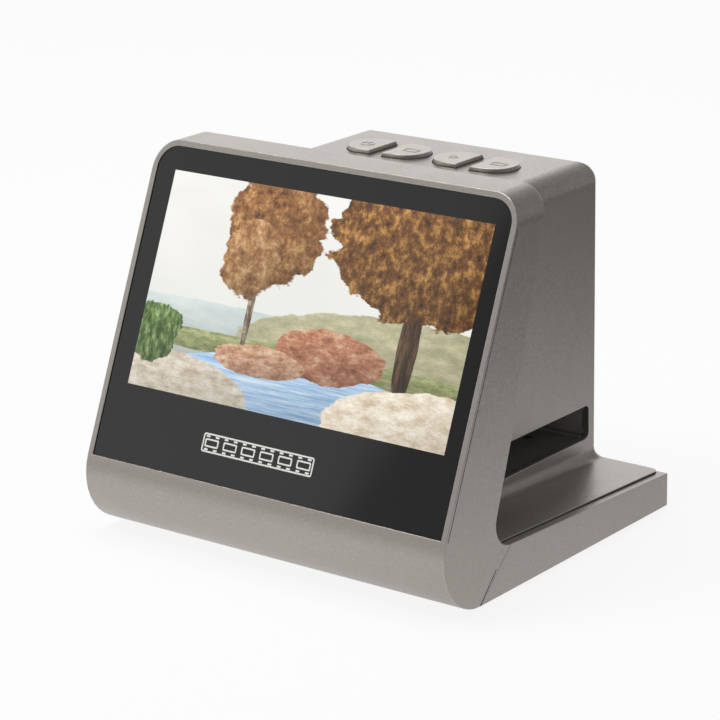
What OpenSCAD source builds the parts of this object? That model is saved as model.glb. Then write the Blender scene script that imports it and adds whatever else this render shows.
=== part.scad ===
// Desktop film scanner: a leaning display housing, a tower with a film tunnel, and a base pan.
// Millimetres. +X is the user's right, -Y the side that the user faces, +Z up.
// The origin is under the middle of the object, in the plane that the feet stand on.
// Heights named _h are measured from the base's underside, which the feet hold stand_h off the table.

/* [Housing] */
// Width over both sides
body_w = 126; // [122:0.5:140]
// Depth from the front bulge to the back of the base
body_d = 111.6; // [108:0.2:125]
// How far the feet hold the base off the table
stand_h = 1; // [0.6:0.1:3]
// Lean of the display face back from vertical, degrees
face_lean = 22.8; // [20:0.2:26]
// Length of the display face, up its slope
face_len = 118; // [116:0.5:124]
// Depth of the flat strip on top of the display housing
top_d = 12; // [11:0.5:16]
// Lean of the upper rear edge of the side bands, degrees
band_lean = 15.3; // [13:0.1:17]
// Lean of the lower rear edge of the side bands, degrees
band_lean_low = 18.9; // [16:0.1:21]
// Height at which the two leans meet
band_bend_h = 43; // [36:1:56]
// Radius of the bulge under the display
nose_r = 16.6; // [15:0.2:18]
// Radius of the outer top corners
corner_r = 8.5; // [6:0.5:14]
// Radius between the side band and the base's rim
notch_r = 7.2; // [5:0.2:10]
// Thickness of the moulded walls
wall = 2.2; // [1.8:0.1:2.6]
// Visible gap at the seams between mouldings
seam_gap = 0.15; // [0.1:0.05:0.3]
// How far the rear cover's wall sits inside the side bands' rear edge
lip = 0.6; // [0.2:0.1:1.2]
// Width and depth of the shadow grooves in the housing's sides
groove = 0.3; // [0.2:0.05:0.5]
// Distance from the face back to the groove beside it
groove_back = 0.7; // [0.4:0.1:1.5]
// Length of the groove that rises from behind the bulge
bulge_groove = 11.2; // [8:0.2:13]
// Slope of that groove, degrees
bulge_groove_lean = 46.6; // [40:0.2:55]

/* [Base] */
// Width of the side walls, seen as the rim round the deck
rim_w = 2.5; // [2:0.1:3.5]
// Height of the rim at the back
rim_h = 9.8; // [8.5:0.1:12]
// Fall of the rim towards the back, degrees
rim_fall = 2.45; // [1.5:0.05:3.5]
// How far the deck stands above the rim
deck_rise = 0.6; // [0:0.1:1]
// Radius of the deck's back corners
deck_corner_r = 3; // [2:0.5:6]
// Thickness of the base's floor
floor_t = 2; // [1.6:0.1:3]
// Radius of the rubber feet
foot_r = 4.5; // [3:0.5:6]
// Depth of the pockets that hold the feet
foot_pocket = 0.8; // [0.4:0.1:1.2]
// Number of vent slots under the lamp board
vent_count = 7; // [3:1:9]
// Width of a vent slot
vent_w = 1.6; // [1:0.1:2]

/* [Tower] */
// Width of the tower
tower_w = 86.5; // [82:0.5:90]
// Offset of the tower from the middle plane
tower_shift = -4.75; // [-8:0.25:4]
// Height of the tower
tower_h = 99.2; // [97:0.2:101]
// Radius of the tower's long top edges
tower_edge_r = 7; // [3:0.5:8]
// Radius of the tower's back corners
tower_back_r = 1.5; // [1:0.5:4]
// How far the tower's back stands in from the base's back
tower_inset = 0.4; // [0:0.1:2]
// Radius of the fillet where the tower meets the deck
foot_fillet = 3; // [1:0.5:5]

/* [Film tunnel] */
// Width of the tunnel, front to back
tunnel_w = 66; // [60:0.5:68]
// Height of the slot in the tower's sides
slot_h = 10.2; // [8:0.2:12]
// Height of the slot's lower edge
slot_z = 17.3; // [17:0.1:19]
// Corner radius of the slot
slot_r = 1.8; // [0.5:0.1:3]
// Width of the film window, along the film
frame_w = 38; // [34:0.5:44]
// Width of the film window, across the film
frame_d = 26; // [22:0.5:30]
// Thickness of the tunnel's floor and ceiling
guide_t = 1.8; // [1.4:0.1:2.2]
// Thickness of the tunnel's side walls
guide_wall = 1.4; // [1.2:0.1:2]
// Height of the rails that carry the film tray
rail_h = 0.8; // [0.4:0.1:1.2]
// Width of a rail
rail_w = 1.6; // [1:0.1:2.5]
// Travel of the detent
detent_travel = 1.2; // [0.6:0.1:1.4]
// Radius of the detent's plunger
detent_r = 2; // [1.5:0.1:2.5]

/* [Display] */
// Width of the lit picture
lcd_w = 110.7; // [106:0.1:112]
// Height of the lit picture
lcd_h = 62.3; // [58:0.1:64]
// Distance up the face from the base plane to the picture
lcd_v = 47.1; // [46:0.1:48.5]
// Offset of the picture from the middle plane
lcd_shift = 0.8; // [-1:0.1:1]
// Dark border of the display cell round the picture
lcd_border = 3.6; // [3:0.1:3.8]
// Thickness of the clear window
window_t = 1.8; // [1:0.1:2]
// How far the window sits below the face
window_recess = 0.3; // [0:0.05:0.6]
// Width of the rim at the sides and top of the window
window_rim = 1.7; // [1.2:0.1:3]
// Corner radius of the window
window_r = 6.8; // [5:0.1:12]
// Thickness of the adhesive frame under the window
tape_t = 0.4; // [0.2:0.1:0.6]
// Width of the adhesive frame
tape_w = 3; // [2:0.5:4]
// Thickness of the ledge behind the adhesive frame
ledge_t = 1.6; // [1.2:0.1:2]
// Thickness of the display cell
cell_t = 1.2; // [1:0.1:1.4]
// Thickness of the backlight tray
backlight_t = 1.6; // [1.4:0.1:1.8]
// Thickness of the display's carrier plate
carrier_t = 0.8; // [0.6:0.1:1]

/* [Buttons] */
// Width of a button cap
cap_w = 11.5; // [10:0.5:11.5]
// Depth of a button cap
cap_d = 14; // [12:0.5:14]
// Height of a cap above the tower
cap_proud = 1.2; // [1:0.1:3]
// Bevel round the top of a cap
cap_bevel = 0.3; // [0.2:0.1:1.2]
// Gap between the two caps of a pair
pair_gap = 4.5; // [4:0.5:6]
// Distance between the middles of the pairs
pair_pitch = 31; // [30:0.5:33]
// Offset of the button group from the tower's middle
group_shift = -0.75; // [-2:0.25:4]
// Distance from the tower's back to the middle of the caps
cap_back = 20; // [19:0.2:28]
// Travel of a button
press = 0.8; // [0.4:0.1:1]
// Play round a cap in its hole
cap_play = 0.25; // [0.15:0.05:0.4]

/* [Camera] */
// Height of the dark shroud between the film gate and the lens
shroud_h = 30; // [26:0.5:32]
// Outer radius of the shroud's mouth
shroud_r = 25.5; // [24:0.5:28]
// Radius of the lens barrel
lens_r = 6; // [5:0.25:7]
// Height of the lens holder
holder_h = 12; // [10:0.5:13]
// Side of the sensor board
sensor_side = 30; // [26:0.5:34]

/* [Boards] */
// Thickness of the circuit boards
board_t = 1.6; // [1:0.1:1.6]
// Width of the main board
main_w = 74; // [74:0.5:76]
// Depth of the main board
main_d = 50; // [48:0.5:54]
// Distance from the tower's ceiling to the main board
main_drop = 17.4; // [16.5:0.1:18]
// Distance from the tower's ceiling to the button board
switch_drop = 8; // [7.4:0.1:9]
// Side of a switch
switch_side = 6; // [5:0.5:7]

/* [Fasteners] */
// Radius of the case screws' threads
screw_r = 1.3; // [1:0.05:1.5]
// Radius of the case screws' heads
head_r = 2.4; // [2:0.1:3]
// Height of the case screws' heads
head_h = 1.2; // [0.8:0.1:1.4]
// Radius of the screw bosses
boss_r = 3; // [2.6:0.1:3.5]
// Radius of the small screws' threads
small_r = 0.9; // [0.7:0.05:1]
// Radius of the small screws' heads
small_head_r = 1.7; // [1.4:0.1:2]
// Height of the small screws' heads
small_head_h = 0.8; // [0.6:0.1:1]

/* [Hidden] */

$fn = 48;
arc_steps = 12;
// Clearance between seated pieces, and between a shaft and its bore
fit = 0.1;
shaft_fit = 0.05;
over = 1;

// Planes of the housing
front_y = -body_d / 2;
back_y = body_d / 2;
base_z = stand_h;
top_z = base_z + face_len * cos(face_lean);
nose_c = [front_y + nose_r, base_z + nose_r];
nose_reach = nose_r / tan((90 - face_lean) / 2);
foot_y = nose_c[0] - nose_reach;
top_rear_y = foot_y + face_len * sin(face_lean) + top_d;
inner_half = body_w / 2 - rim_w;
deck_half = inner_half - seam_gap;
floor_z = base_z + floor_t;
seat_z = base_z + head_h + fit;
pad_h = 0.8;
boss_z = floor_z + pad_h + fit;

// Planes of the tower
tower_x0 = tower_shift - tower_w / 2;
tower_x1 = tower_shift + tower_w / 2;
tower_back = back_y - tower_inset;
tower_z = base_z + tower_h;
ceiling_z = tower_z - wall;

// Film tunnel: its walls stand just inside the tower's back wall
slot_y1 = tower_back - wall - 2 * fit - guide_wall - fit;
slot_y0 = slot_y1 - tunnel_w;
slot_z0 = base_z + slot_z;
slot_z1 = slot_z0 + slot_h;
gate_y = (slot_y0 + slot_y1) / 2;
edge_ease = 0.3;
track_z = slot_z0 - edge_ease;
roof_z = slot_z1 + edge_ease;
guide_z = track_z - guide_t;
guide_top = roof_z + guide_t;
guide_x0 = tower_x0 + wall + fit;
guide_x1 = tower_x1 - wall - fit;
guide_y0 = slot_y0 - fit - guide_wall;
guide_y1 = slot_y1 + fit + guide_wall;

// Display stack, as depths behind the face
recess_d = window_recess + window_t + tape_t;
ledge_d = recess_d + ledge_t;
cell_d = ledge_d + fit;
backlight_d = cell_d + cell_t;
carrier_d = backlight_d + backlight_t;
carrier_back_d = carrier_d + carrier_t;
module_w = lcd_w + 2 * lcd_border;
module_h = lcd_h + 2 * lcd_border;
module_v = lcd_v + lcd_h / 2;

function dir(a) = [cos(a), sin(a)];
function cross2(a, b) = a[0] * b[1] - a[1] * b[0];
// Where the line through p along a meets the line through q along b
function meet(p, a, q, b) = p + a * (cross2(q - p, b) / cross2(a, b));
function arc(c, r, a0, a1, n = arc_steps) = [for (i = [0:n]) c + r * dir(a0 + (a1 - a0) * i / n)];
function flip(points) = [for (i = [len(points) - 1:-1:0]) points[i]];
// A point of the side view, v up the face's slope and d behind the face
function face(v, d) = [
    foot_y + v * sin(face_lean) + d * cos(face_lean),
    base_z + v * cos(face_lean) - d * sin(face_lean)
];

// Rear line of the side bands: two straight runs, then an arc into the rim's line.
// in_wall and in_deck move the two parts into the housing, and r is the arc's radius.
function band_dir(lean) = dir(90 - lean);
function band_out(lean) = dir(-lean);
rim_dir = dir(180 - rim_fall);
rim_out = dir(90 - rim_fall);
rim_back = [back_y, base_z + rim_h];
band_top = [top_rear_y, top_z];
band_bend = meet(band_top, band_dir(band_lean), [0, base_z + band_bend_h], [1, 0]);
function upper_line(in_wall) = band_top - in_wall * band_out(band_lean);
function lower_line(in_wall) = band_bend - in_wall * band_out(band_lean_low);
function deck_line(in_deck) = rim_back - in_deck * rim_out;
function rear_line(in_wall, in_deck, r, z_end) =
    let (c = meet(lower_line(in_wall - r), band_dir(band_lean_low), deck_line(in_deck - r), rim_dir))
    concat(
        [meet(upper_line(in_wall), band_dir(band_lean), [0, z_end], [1, 0])],
        [meet(upper_line(in_wall), band_dir(band_lean), lower_line(in_wall), band_dir(band_lean_low))],
        arc(c, r, 180 - band_lean_low, 270 - rim_fall)
    );
function deck_end(in_deck) = meet(deck_line(in_deck), rim_dir, [back_y, 0], [0, 1]);
function deck_z(y) = meet(deck_line(-deck_rise), rim_dir, [y, 0], [0, 1])[1];
function rect(x0, y0, x1, y1) = [[x0, y0], [x1, y0], [x1, y1], [x0, y1]];
// A rectangle with its two upper corners rounded
function arch(x0, y0, x1, y1, r) = concat(
    [[x0, y0], [x1, y0]], arc([x1 - r, y1 - r], r, 0, 90), arc([x0 + r, y1 - r], r, 90, 180)
);
function rounded(x0, y0, x1, y1, r) = concat(
    arc([x0 + r, y0 + r], r, 180, 270, 6), arc([x1 - r, y0 + r], r, 270, 360, 6),
    arc([x1 - r, y1 - r], r, 0, 90, 6), arc([x0 + r, y1 - r], r, 90, 180, 6)
);

// Extrudes a side view, drawn in Y and Z, along X
module along_x(w) {
    rotate([90, 0, 90])
    linear_extrude(height = w, center = true)
    children();
}

// Extrudes a front view, drawn in X and Z, from y0 to y1
module along_y(y0, y1) {
    translate([0, y1, 0])
    rotate([90, 0, 0])
    linear_extrude(height = y1 - y0)
    children();
}

// Extrudes a plan from z0 to z1
module along_z(z0, z1) {
    translate([0, 0, z0])
    linear_extrude(height = z1 - z0)
    children();
}

// Puts children drawn as X, depth behind the face and distance up the face in place
module on_face() {
    translate([0, foot_y, base_z])
    rotate([-face_lean, 0, 0])
    children();
}

// Extrudes an outline drawn in X and distance up the face, between two depths
module face_slab(d0, d1) {
    on_face()
    along_y(d0, d1)
    children();
}

module post(x, y, z0, z1, r) {
    translate([x, y, z0])
    cylinder(r = r, h = z1 - z0);
}

// Head and thread of a screw whose head sits on z and whose thread runs up from it
module screw_up(r, length, hr, hh) {
    translate([0, 0, -hh])
    difference() {
        cylinder(r = hr, h = hh);
        translate([0, 0, -over])
        cylinder(r = hr / 2, h = over + hh / 2, $fn = 6);
    }
    cylinder(r = r, h = length);
}

// ---- Display housing ----

module front_outline(side_in, top_in) {
    half = body_w / 2 - side_in;
    polygon(arch(-half, -over, half, top_z - top_in, corner_r - side_in));
}

notch_curve = rear_line(0, 0, notch_r, top_z);
seam_top = notch_curve[len(notch_curve) - 1];
front_boss_in = 16;
front_boss_back = 7;
front_boss_x = body_w / 2 - front_boss_in;
front_boss_y = nose_c[0] + front_boss_back;
front_boss_h = 7;
carrier_screw_in = 13;
head_gap = 0.6;
carrier_screw_x = module_w / 2 - carrier_screw_in;
carrier_screw_v = module_h / 2 + small_head_r + head_gap;

module carrier_points() {
    for (x = [-1, 1])
    for (v = [-1, 1])
    translate([lcd_shift + x * carrier_screw_x, 0, module_v + v * carrier_screw_v])
    rotate([-90, 0, 0])
    children();
}

module front_boss_points() {
    for (x = [-1, 1])
    translate([x * front_boss_x, front_boss_y, 0])
    children();
}

module window_outline(gap) {
    half = body_w / 2 - window_rim - gap;
    polygon(arch(-half, nose_reach + gap, half, face_len - window_rim - gap, window_r - gap));
}

module picture_opening(gap) {
    translate([lcd_shift, module_v])
    square([lcd_w + 2 * gap, lcd_h + 2 * gap], center = true);
}

// Shadow grooves in one side: beside the face, and up from behind the bulge
module side_grooves() {
    face_slab(groove_back, groove_back + groove)
    translate([-groove, nose_reach])
    square([2 * groove, face_len - corner_r - nose_reach]);
    translate([-groove, nose_c[0], base_z])
    rotate([bulge_groove_lean, 0, 0])
    translate([0, -1, 0])
    cube([2 * groove, bulge_groove + 1, groove]);
}

module front_shell() color([0.50, 0.48, 0.47]) {
    inner_top = top_z - wall;
    inner_front = meet(face(0, ledge_d), band_dir(face_lean), [0, inner_top], [1, 0]);
    difference() {
        intersection() {
            along_x(body_w)
            polygon(concat([face(face_len, 0)], notch_curve, arc(nose_c, nose_r, 270, 180 - face_lean)));
            along_y(front_y - over, back_y)
            front_outline(0, 0);
        }
        intersection() {
            along_x(2 * inner_half)
            polygon(concat(
                [inner_front, [back_y, inner_top], [back_y, base_z + wall]],
                arc(nose_c, nose_r - wall, 270, 170), [face(nose_reach - 3, ledge_d)]
            ));
            along_y(front_y - over, back_y + over)
            front_outline(rim_w, wall);
        }
        face_slab(-over, recess_d)
        window_outline(0);
        face_slab(0, ledge_d + over)
        picture_opening(1);
        face_slab(ledge_d, carrier_back_d + over)
        module_outline(-fit);
        for (x = [-1, 1])
        translate([x * body_w / 2, 0, 0])
        side_grooves();
    }
    // Bosses for the display's carrier
    on_face()
    carrier_points()
    difference() {
        translate([0, 0, ledge_d - 0.4])
        cylinder(r = small_head_r + 0.3, h = carrier_d - ledge_d + 0.4);
        translate([0, 0, ledge_d + 0.2])
        cylinder(r = small_r, h = carrier_d);
    }
    // Ribs that carry the bosses for the front case screws
    difference() {
        union() {
            front_boss_points()
            translate([0, 0, boss_z])
            cylinder(r = boss_r, h = front_boss_h);
            for (x = [-1, 1])
            translate([x * front_boss_x, 0, 0])
            along_x(wall)
            polygon([
                [nose_c[0] - nose_r / 4, base_z + wall / 2], [nose_c[0], base_z + wall / 2],
                [nose_c[0], boss_z], [front_boss_y, boss_z], [front_boss_y, boss_z + front_boss_h],
                [nose_c[0] - nose_r / 4, boss_z + front_boss_h]
            ]);
        }
        front_boss_points()
        cylinder(r = screw_r, h = boss_z + front_boss_h - wall / 2);
    }
}

module display_window() color([0.10, 0.09, 0.09]) {
    face_slab(window_recess, window_recess + window_t)
    window_outline(fit);
}

module window_tape() color([0.05, 0.05, 0.05]) {
    face_slab(window_recess + window_t, recess_d)
    difference() {
        window_outline(2 * fit);
        window_outline(2 * fit + tape_w);
    }
}

module module_outline(gap) {
    translate([lcd_shift, module_v])
    square([module_w - 2 * gap, module_h - 2 * gap], center = true);
}

module lcd_cell() color([0.16, 0.17, 0.20]) {
    face_slab(cell_d, backlight_d)
    module_outline(0);
}

module lcd_backlight() color([0.72, 0.73, 0.75]) {
    edge = 1;
    difference() {
        face_slab(backlight_d, carrier_d)
        module_outline(0);
        face_slab(carrier_d - backlight_t / 3, carrier_d + over)
        module_outline(edge + lcd_border);
    }
}

module lcd_carrier() color([0.62, 0.63, 0.64]) {
    frame = 7;
    ear = small_head_r + 1;
    on_face()
    difference() {
        union() {
            along_y(carrier_d, carrier_back_d)
            difference() {
                module_outline(0);
                module_outline(frame);
            }
            carrier_points()
            translate([-ear, -ear, carrier_d])
            cube([2 * ear, 2 * ear, carrier_t]);
        }
        carrier_points()
        cylinder(r = small_r + fit, h = carrier_back_d + over);
    }
}

module carrier_screws() color([0.30, 0.30, 0.32]) {
    length = carrier_back_d - ledge_d - 0.4;
    on_face()
    carrier_points()
    translate([0, 0, carrier_back_d])
    mirror([0, 0, 1])
    screw_up(small_r - shaft_fit, length, small_head_r, small_head_h);
}

// ---- Rear cover: leaning wall, deck and tower in one moulding ----

module deck_plan(gap) {
    half = deck_half + gap;
    r = deck_corner_r + gap;
    polygon(arch(-half, front_y, half, back_y + gap, r));
}

module tower_front(inset) {
    polygon(arch(tower_x0 + inset, 0, tower_x1 - inset, tower_z - inset, tower_edge_r - inset));
}

module tower_plan(inset) {
    r = max(tower_back_r - inset, 0.5);
    polygon(arch(tower_x0 + inset, front_y, tower_x1 - inset, tower_back - inset, r));
}

// Side view of the tower, with its rear top edge eased
module tower_side() {
    ease = tower_back_r;
    top_edge = arc([tower_back - ease, tower_z - ease], ease, 0, 90, 6);
    polygon(concat([[tower_back, 0]], top_edge, [[front_y, tower_z], [front_y, 0]]));
}

module slot_outline() {
    polygon(rounded(slot_y0, slot_z0, slot_y1, slot_z1, slot_r));
}

skin_top = top_z - wall - seam_gap;
deck_boss_in = 11;
deck_boss_back = 9;
deck_boss_front = 31;
deck_boss_x = body_w / 2 - deck_boss_in;
deck_boss_y = [back_y - deck_boss_back, nose_c[0] + deck_boss_front];
boss_hole_z = deck_z(back_y) - wall;

module deck_boss_points() {
    for (x = [-1, 1])
    for (y = deck_boss_y)
    translate([x * deck_boss_x, y, 0])
    children();
}

module fillet_profile(r) {
    difference() {
        translate([-over, -over])
        square([r + over, r + over]);
        translate([r, r])
        circle(r = r);
    }
}

// Fillet between one side of the tower and the deck
module foot_fillet_side() {
    translate([0, back_y, deck_z(back_y)])
    rotate([-rim_fall, 0, 0]) {
        along_y(front_y - back_y, -tower_inset - tower_back_r)
        fillet_profile(foot_fillet);
        // Round the tower's back corner
        translate([-tower_back_r, -tower_inset - tower_back_r, 0])
        rotate_extrude(angle = 90)
        translate([tower_back_r, 0])
        fillet_profile(foot_fillet);
    }
}

board_gap = 0.6;
main_y1 = tower_back - wall - board_gap;
main_y0 = main_y1 - main_d;
main_x = tower_shift;
main_top = ceiling_z - main_drop;
post_r = 2.4;
main_post_in = 2.5;
main_post_front = 4.5;
main_post_back = 3.2;
main_post_x = main_w / 2 - main_post_in;
main_post_y = [main_y0 + main_post_front, main_y1 - main_post_back];

module main_post_points() {
    for (x = [-1, 1])
    for (y = main_post_y)
    translate([main_x + x * main_post_x, y, 0])
    children();
}

group_x = tower_shift + group_shift;
cap_y = tower_back - cap_back;
switch_top = ceiling_z - switch_drop;
flange_t = 1.2;
flange_out = 1;
switch_board_w = 2 * pair_pitch - 1;
switch_board_d = 28;
switch_post_x = pair_pitch / 2;
switch_post_y = cap_d / 2 + flange_out + head_gap + post_r;

module switch_post_points() {
    for (s = [-1, 1])
    translate([group_x + s * switch_post_x, cap_y + s * switch_post_y, 0])
    children();
}

card_in = 19;
card_size = [26, 28, 3];
hdmi_in = 8;
hdmi_size = [11.2, 8, 3.4];
usb_in = 13;
usb_size = [9, 7.5, 3.3];
card_x = main_x - main_w / 2 + card_in;
usb_x = main_x + main_w / 2 - usb_in;
hdmi_x = main_x + hdmi_in;
socket_in = 0.8;

module port_cut(x, size, r) {
    translate([x, 0, main_top])
    along_y(tower_back - wall - over, tower_back + over)
    polygon(rounded(-size[0] / 2 - fit, -fit, size[0] / 2 + fit, size[2] + fit, r));
}

module rear_cover() color([0.55, 0.53, 0.52]) {
    outer = rear_line(lip, -deck_rise, notch_r, skin_top);
    inner = rear_line(lip + wall, wall - deck_rise, notch_r + wall, skin_top);
    middle = rear_line(lip + wall / 2, wall / 2 - deck_rise, notch_r + wall / 2, skin_top);
    difference() {
        union() {
            intersection() {
                along_x(2 * deck_half)
                polygon(concat(outer, [deck_end(-deck_rise), deck_end(wall - deck_rise)], flip(inner)));
                along_z(0, top_z)
                deck_plan(0);
                along_y(front_y, back_y + over)
                front_outline(rim_w + seam_gap, wall + seam_gap);
            }
            intersection() {
                along_x(body_w)
                polygon(concat(middle, [deck_end(wall / 2 - deck_rise), [back_y, skin_top]]));
                union() {
                    intersection() {
                        along_y(front_y, back_y)
                        tower_front(0);
                        along_z(0, tower_z)
                        tower_plan(0);
                        along_x(2 * body_w)
                        tower_side();
                    }
                    translate([tower_x1, 0, 0])
                    foot_fillet_side();
                    translate([tower_x0, 0, 0])
                    mirror([1, 0, 0])
                    foot_fillet_side();
                    translate([tower_shift, tower_back, deck_z(back_y)])
                    along_x(tower_w - 2 * tower_back_r)
                    fillet_profile(foot_fillet);
                }
                along_z(0, tower_z)
                deck_plan(0);
            }
        }
        intersection() {
            along_y(front_y - over, back_y)
            tower_front(wall);
            along_z(0, tower_z)
            tower_plan(wall);
        }
        along_x(2 * body_w)
        slot_outline();
        for (i = [0:3])
        at_button(i)
        along_z(ceiling_z - over, tower_z + over)
        cap_outline(cap_play);
        port_cut(card_x, card_size, 0.4);
        port_cut(hdmi_x, hdmi_size, 0.8);
        port_cut(usb_x, usb_size, 1.5);
    }
    // Bosses for the case screws, under the deck
    difference() {
        for (x = [-1, 1])
        for (y = deck_boss_y)
        post(x * deck_boss_x, y, boss_z, deck_z(y) - wall / 2, boss_r);
        deck_boss_points()
        cylinder(r = screw_r, h = boss_hole_z);
    }
    // Posts that hang from the ceiling for the boards
    difference() {
        union() {
            main_post_points()
            along_z(main_top, ceiling_z + wall / 2)
            circle(r = post_r);
            switch_post_points()
            along_z(switch_top, ceiling_z + wall / 2)
            circle(r = post_r);
        }
        main_post_points()
        along_z(main_top - over, main_top + 8)
        circle(r = small_r);
        switch_post_points()
        along_z(switch_top - over, switch_top + 5)
        circle(r = small_r);
    }
}

// ---- Base pan ----

foot_in = 11;
foot_front = 22;
foot_back = 20;
guide_post_x = frame_w / 2 + 9;
guide_post_y = frame_d / 2 + 11;

module foot_points() {
    for (x = [-1, 1])
    for (y = [nose_c[0] + foot_front, back_y - foot_back])
    translate([x * (body_w / 2 - foot_in), y, 0])
    children();
}

module guide_post_points() {
    for (x = [-1, 1])
    for (y = [-1, 1])
    translate([tower_shift + x * guide_post_x, gate_y + y * guide_post_y, 0])
    children();
}

module case_screw_points() {
    deck_boss_points()
    children();
    front_boss_points()
    children();
    guide_post_points()
    children();
}

module base_pan() color([0.53, 0.51, 0.50]) {
    pitch = 2 * vent_w + 0.6;
    vent_l = 2 * guide_post_y - 4 * boss_r;
    difference() {
        along_x(body_w)
        polygon([
            [nose_c[0] + seam_gap, base_z], seam_top + [seam_gap, 0], rim_back, [back_y, base_z]
        ]);
        // Inside of the pan, above its floor and inside its walls
        intersection() {
            along_x(2 * inner_half)
            polygon(rect(front_y, floor_z, back_y - wall, top_z));
            along_z(0, top_z)
            deck_plan(seam_gap);
        }
        // Bed of the deck
        intersection() {
            along_x(2 * inner_half)
            polygon([
                [front_y, top_z], [back_y + over, top_z],
                deck_end(wall - deck_rise + seam_gap) + [over, 0],
                deck_line(wall - deck_rise + seam_gap) + body_d * rim_dir
            ]);
            along_z(0, top_z)
            deck_plan(seam_gap);
        }
        case_screw_points()
        cylinder(r = screw_r + fit, h = floor_z + over);
        case_screw_points()
        cylinder(r = head_r + 2 * fit, h = seat_z);
        foot_points()
        translate([0, 0, base_z - over])
        cylinder(r = foot_r + fit, h = over + foot_pocket);
        for (i = [0:vent_count - 1])
        translate([tower_shift + (i - (vent_count - 1) / 2) * pitch, gate_y, 0])
        along_z(0, floor_z + over)
        polygon(rounded(-vent_w / 2, -vent_l / 2, vent_w / 2, vent_l / 2, vent_w / 2 - 0.01));
    }
    // Posts that carry the tunnel's lower guide, and pads round the other case screws
    difference() {
        union() {
            guide_post_points()
            translate([0, 0, floor_z - fit])
            cylinder(r = boss_r, h = guide_z - floor_z + fit);
            case_screw_points()
            translate([0, 0, floor_z - fit])
            cylinder(r = boss_r + 0.4, h = pad_h + fit);
        }
        case_screw_points()
        cylinder(r = screw_r + fit, h = guide_z + over);
    }
    // Ledges that hold the lamp board off the floor
    for (x = [-1, 1])
    translate([tower_shift + x * lamp_half[0] - wall / 2, gate_y - lamp_half[1], floor_z - over / 2])
    cube([wall, 2 * lamp_half[1], lamp_z - floor_z + over / 2]);
}

module rubber_feet() color([0.09, 0.09, 0.09]) {
    foot_points()
    union() {
        cylinder(r1 = foot_r - 0.4, r2 = foot_r, h = stand_h / 2);
        translate([0, 0, stand_h / 2])
        cylinder(r = foot_r, h = stand_h / 2 + foot_pocket);
    }
}

module case_screws() color([0.25, 0.25, 0.27]) {
    deck_boss_points()
    translate([0, 0, seat_z])
    screw_up(screw_r - shaft_fit, boss_hole_z - 0.4 - seat_z, head_r, head_h);
    front_boss_points()
    translate([0, 0, seat_z])
    screw_up(screw_r - shaft_fit, front_boss_h - 1, head_r, head_h);
    guide_post_points()
    translate([0, 0, seat_z])
    screw_up(screw_r - shaft_fit, track_z - fit - seat_z, head_r, head_h);
}

// ---- Film tunnel ----

lamp_half = [frame_w / 2 + 5, frame_d / 2 + 5];
lamp_board_t = 1.2;
lamp_z = floor_z + 0.8;
diffuser_t = 1.6;
guide_ear = 6;
ear_x = frame_w / 2 + 11;
detent_x = tower_shift;
detent_boss_r = detent_r + 1.4;
detent_y = slot_y0 + detent_boss_r + fit;
detent_h = 10;
detent_cap_t = 1;
detent_flange_t = 1;
// How far the detent's nose reaches into the tunnel, and what is left of it there at full travel
detent_left = 0.3;
detent_reach = detent_travel + detent_left;
spring_wire = 0.3;

module gate_window(gap) {
    translate([tower_shift, gate_y])
    square([frame_w + 2 * gap, frame_d + 2 * gap], center = true);
}

module ear_points() {
    for (x = [-1, 1])
    translate([tower_shift + x * ear_x, guide_y0 - guide_ear / 2, 0])
    children();
}

module ear_outline() {
    polygon(arch(-guide_ear / 2, -guide_ear / 2 - over, guide_ear / 2, guide_ear / 2, 0.4));
}

module lower_guide() color([0.13, 0.13, 0.13]) {
    difference() {
        union() {
            translate([guide_x0, guide_y0, guide_z])
            cube([guide_x1 - guide_x0, guide_y1 - guide_y0, roof_z - guide_z]);
            ear_points()
            mirror([0, 1, 0])
            along_z(roof_z - 8, roof_z)
            ear_outline();
        }
        translate([guide_x0 - over, guide_y0 + guide_wall, track_z])
        cube([guide_x1 - guide_x0 + 2 * over, guide_y1 - guide_y0 - 2 * guide_wall, roof_z]);
        along_z(guide_z - over, track_z + over)
        gate_window(0);
        guide_post_points()
        along_z(guide_z - over, track_z + over)
        circle(r = screw_r);
        ear_points()
        along_z(roof_z - 6, roof_z + over)
        circle(r = small_r);
    }
    // Rails that carry the film tray
    for (y = [slot_y0 - fit, slot_y1 + fit - rail_w])
    translate([guide_x0, y, track_z - over / 2])
    cube([guide_x1 - guide_x0, rail_w, rail_h + over / 2]);
}

module upper_guide() color([0.15, 0.15, 0.15]) {
    difference() {
        union() {
            translate([guide_x0, guide_y0, roof_z])
            cube([guide_x1 - guide_x0, guide_y1 - guide_y0, guide_t]);
            ear_points()
            mirror([0, 1, 0])
            along_z(roof_z, guide_top)
            ear_outline();
            post(detent_x, detent_y, roof_z, guide_top + detent_h, detent_boss_r);
            shroud_screw_points()
            along_z(roof_z + fit, guide_top + 2)
            circle(r = small_head_r + 0.6);
        }
        along_z(roof_z - over, guide_top + over)
        gate_window(0);
        ear_points()
        along_z(roof_z - over, guide_top + over)
        circle(r = small_r + fit);
        // Stepped bore: the nose passes, and the plunger's flange rests on the step
        post(detent_x, detent_y, roof_z - over, guide_top + over, detent_r + shaft_fit - 0.6);
        post(detent_x, detent_y, guide_top, guide_top + detent_h + over, detent_r + shaft_fit);
        shroud_screw_points()
        along_z(guide_top - 1, guide_top + 2 + over)
        circle(r = small_r);
    }
}

module guide_screws() color([0.30, 0.30, 0.32]) {
    ear_points()
    translate([0, 0, guide_top])
    mirror([0, 0, 1])
    screw_up(small_r - shaft_fit, guide_t + guide_screw_bite, small_head_r, small_head_h);
}

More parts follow.
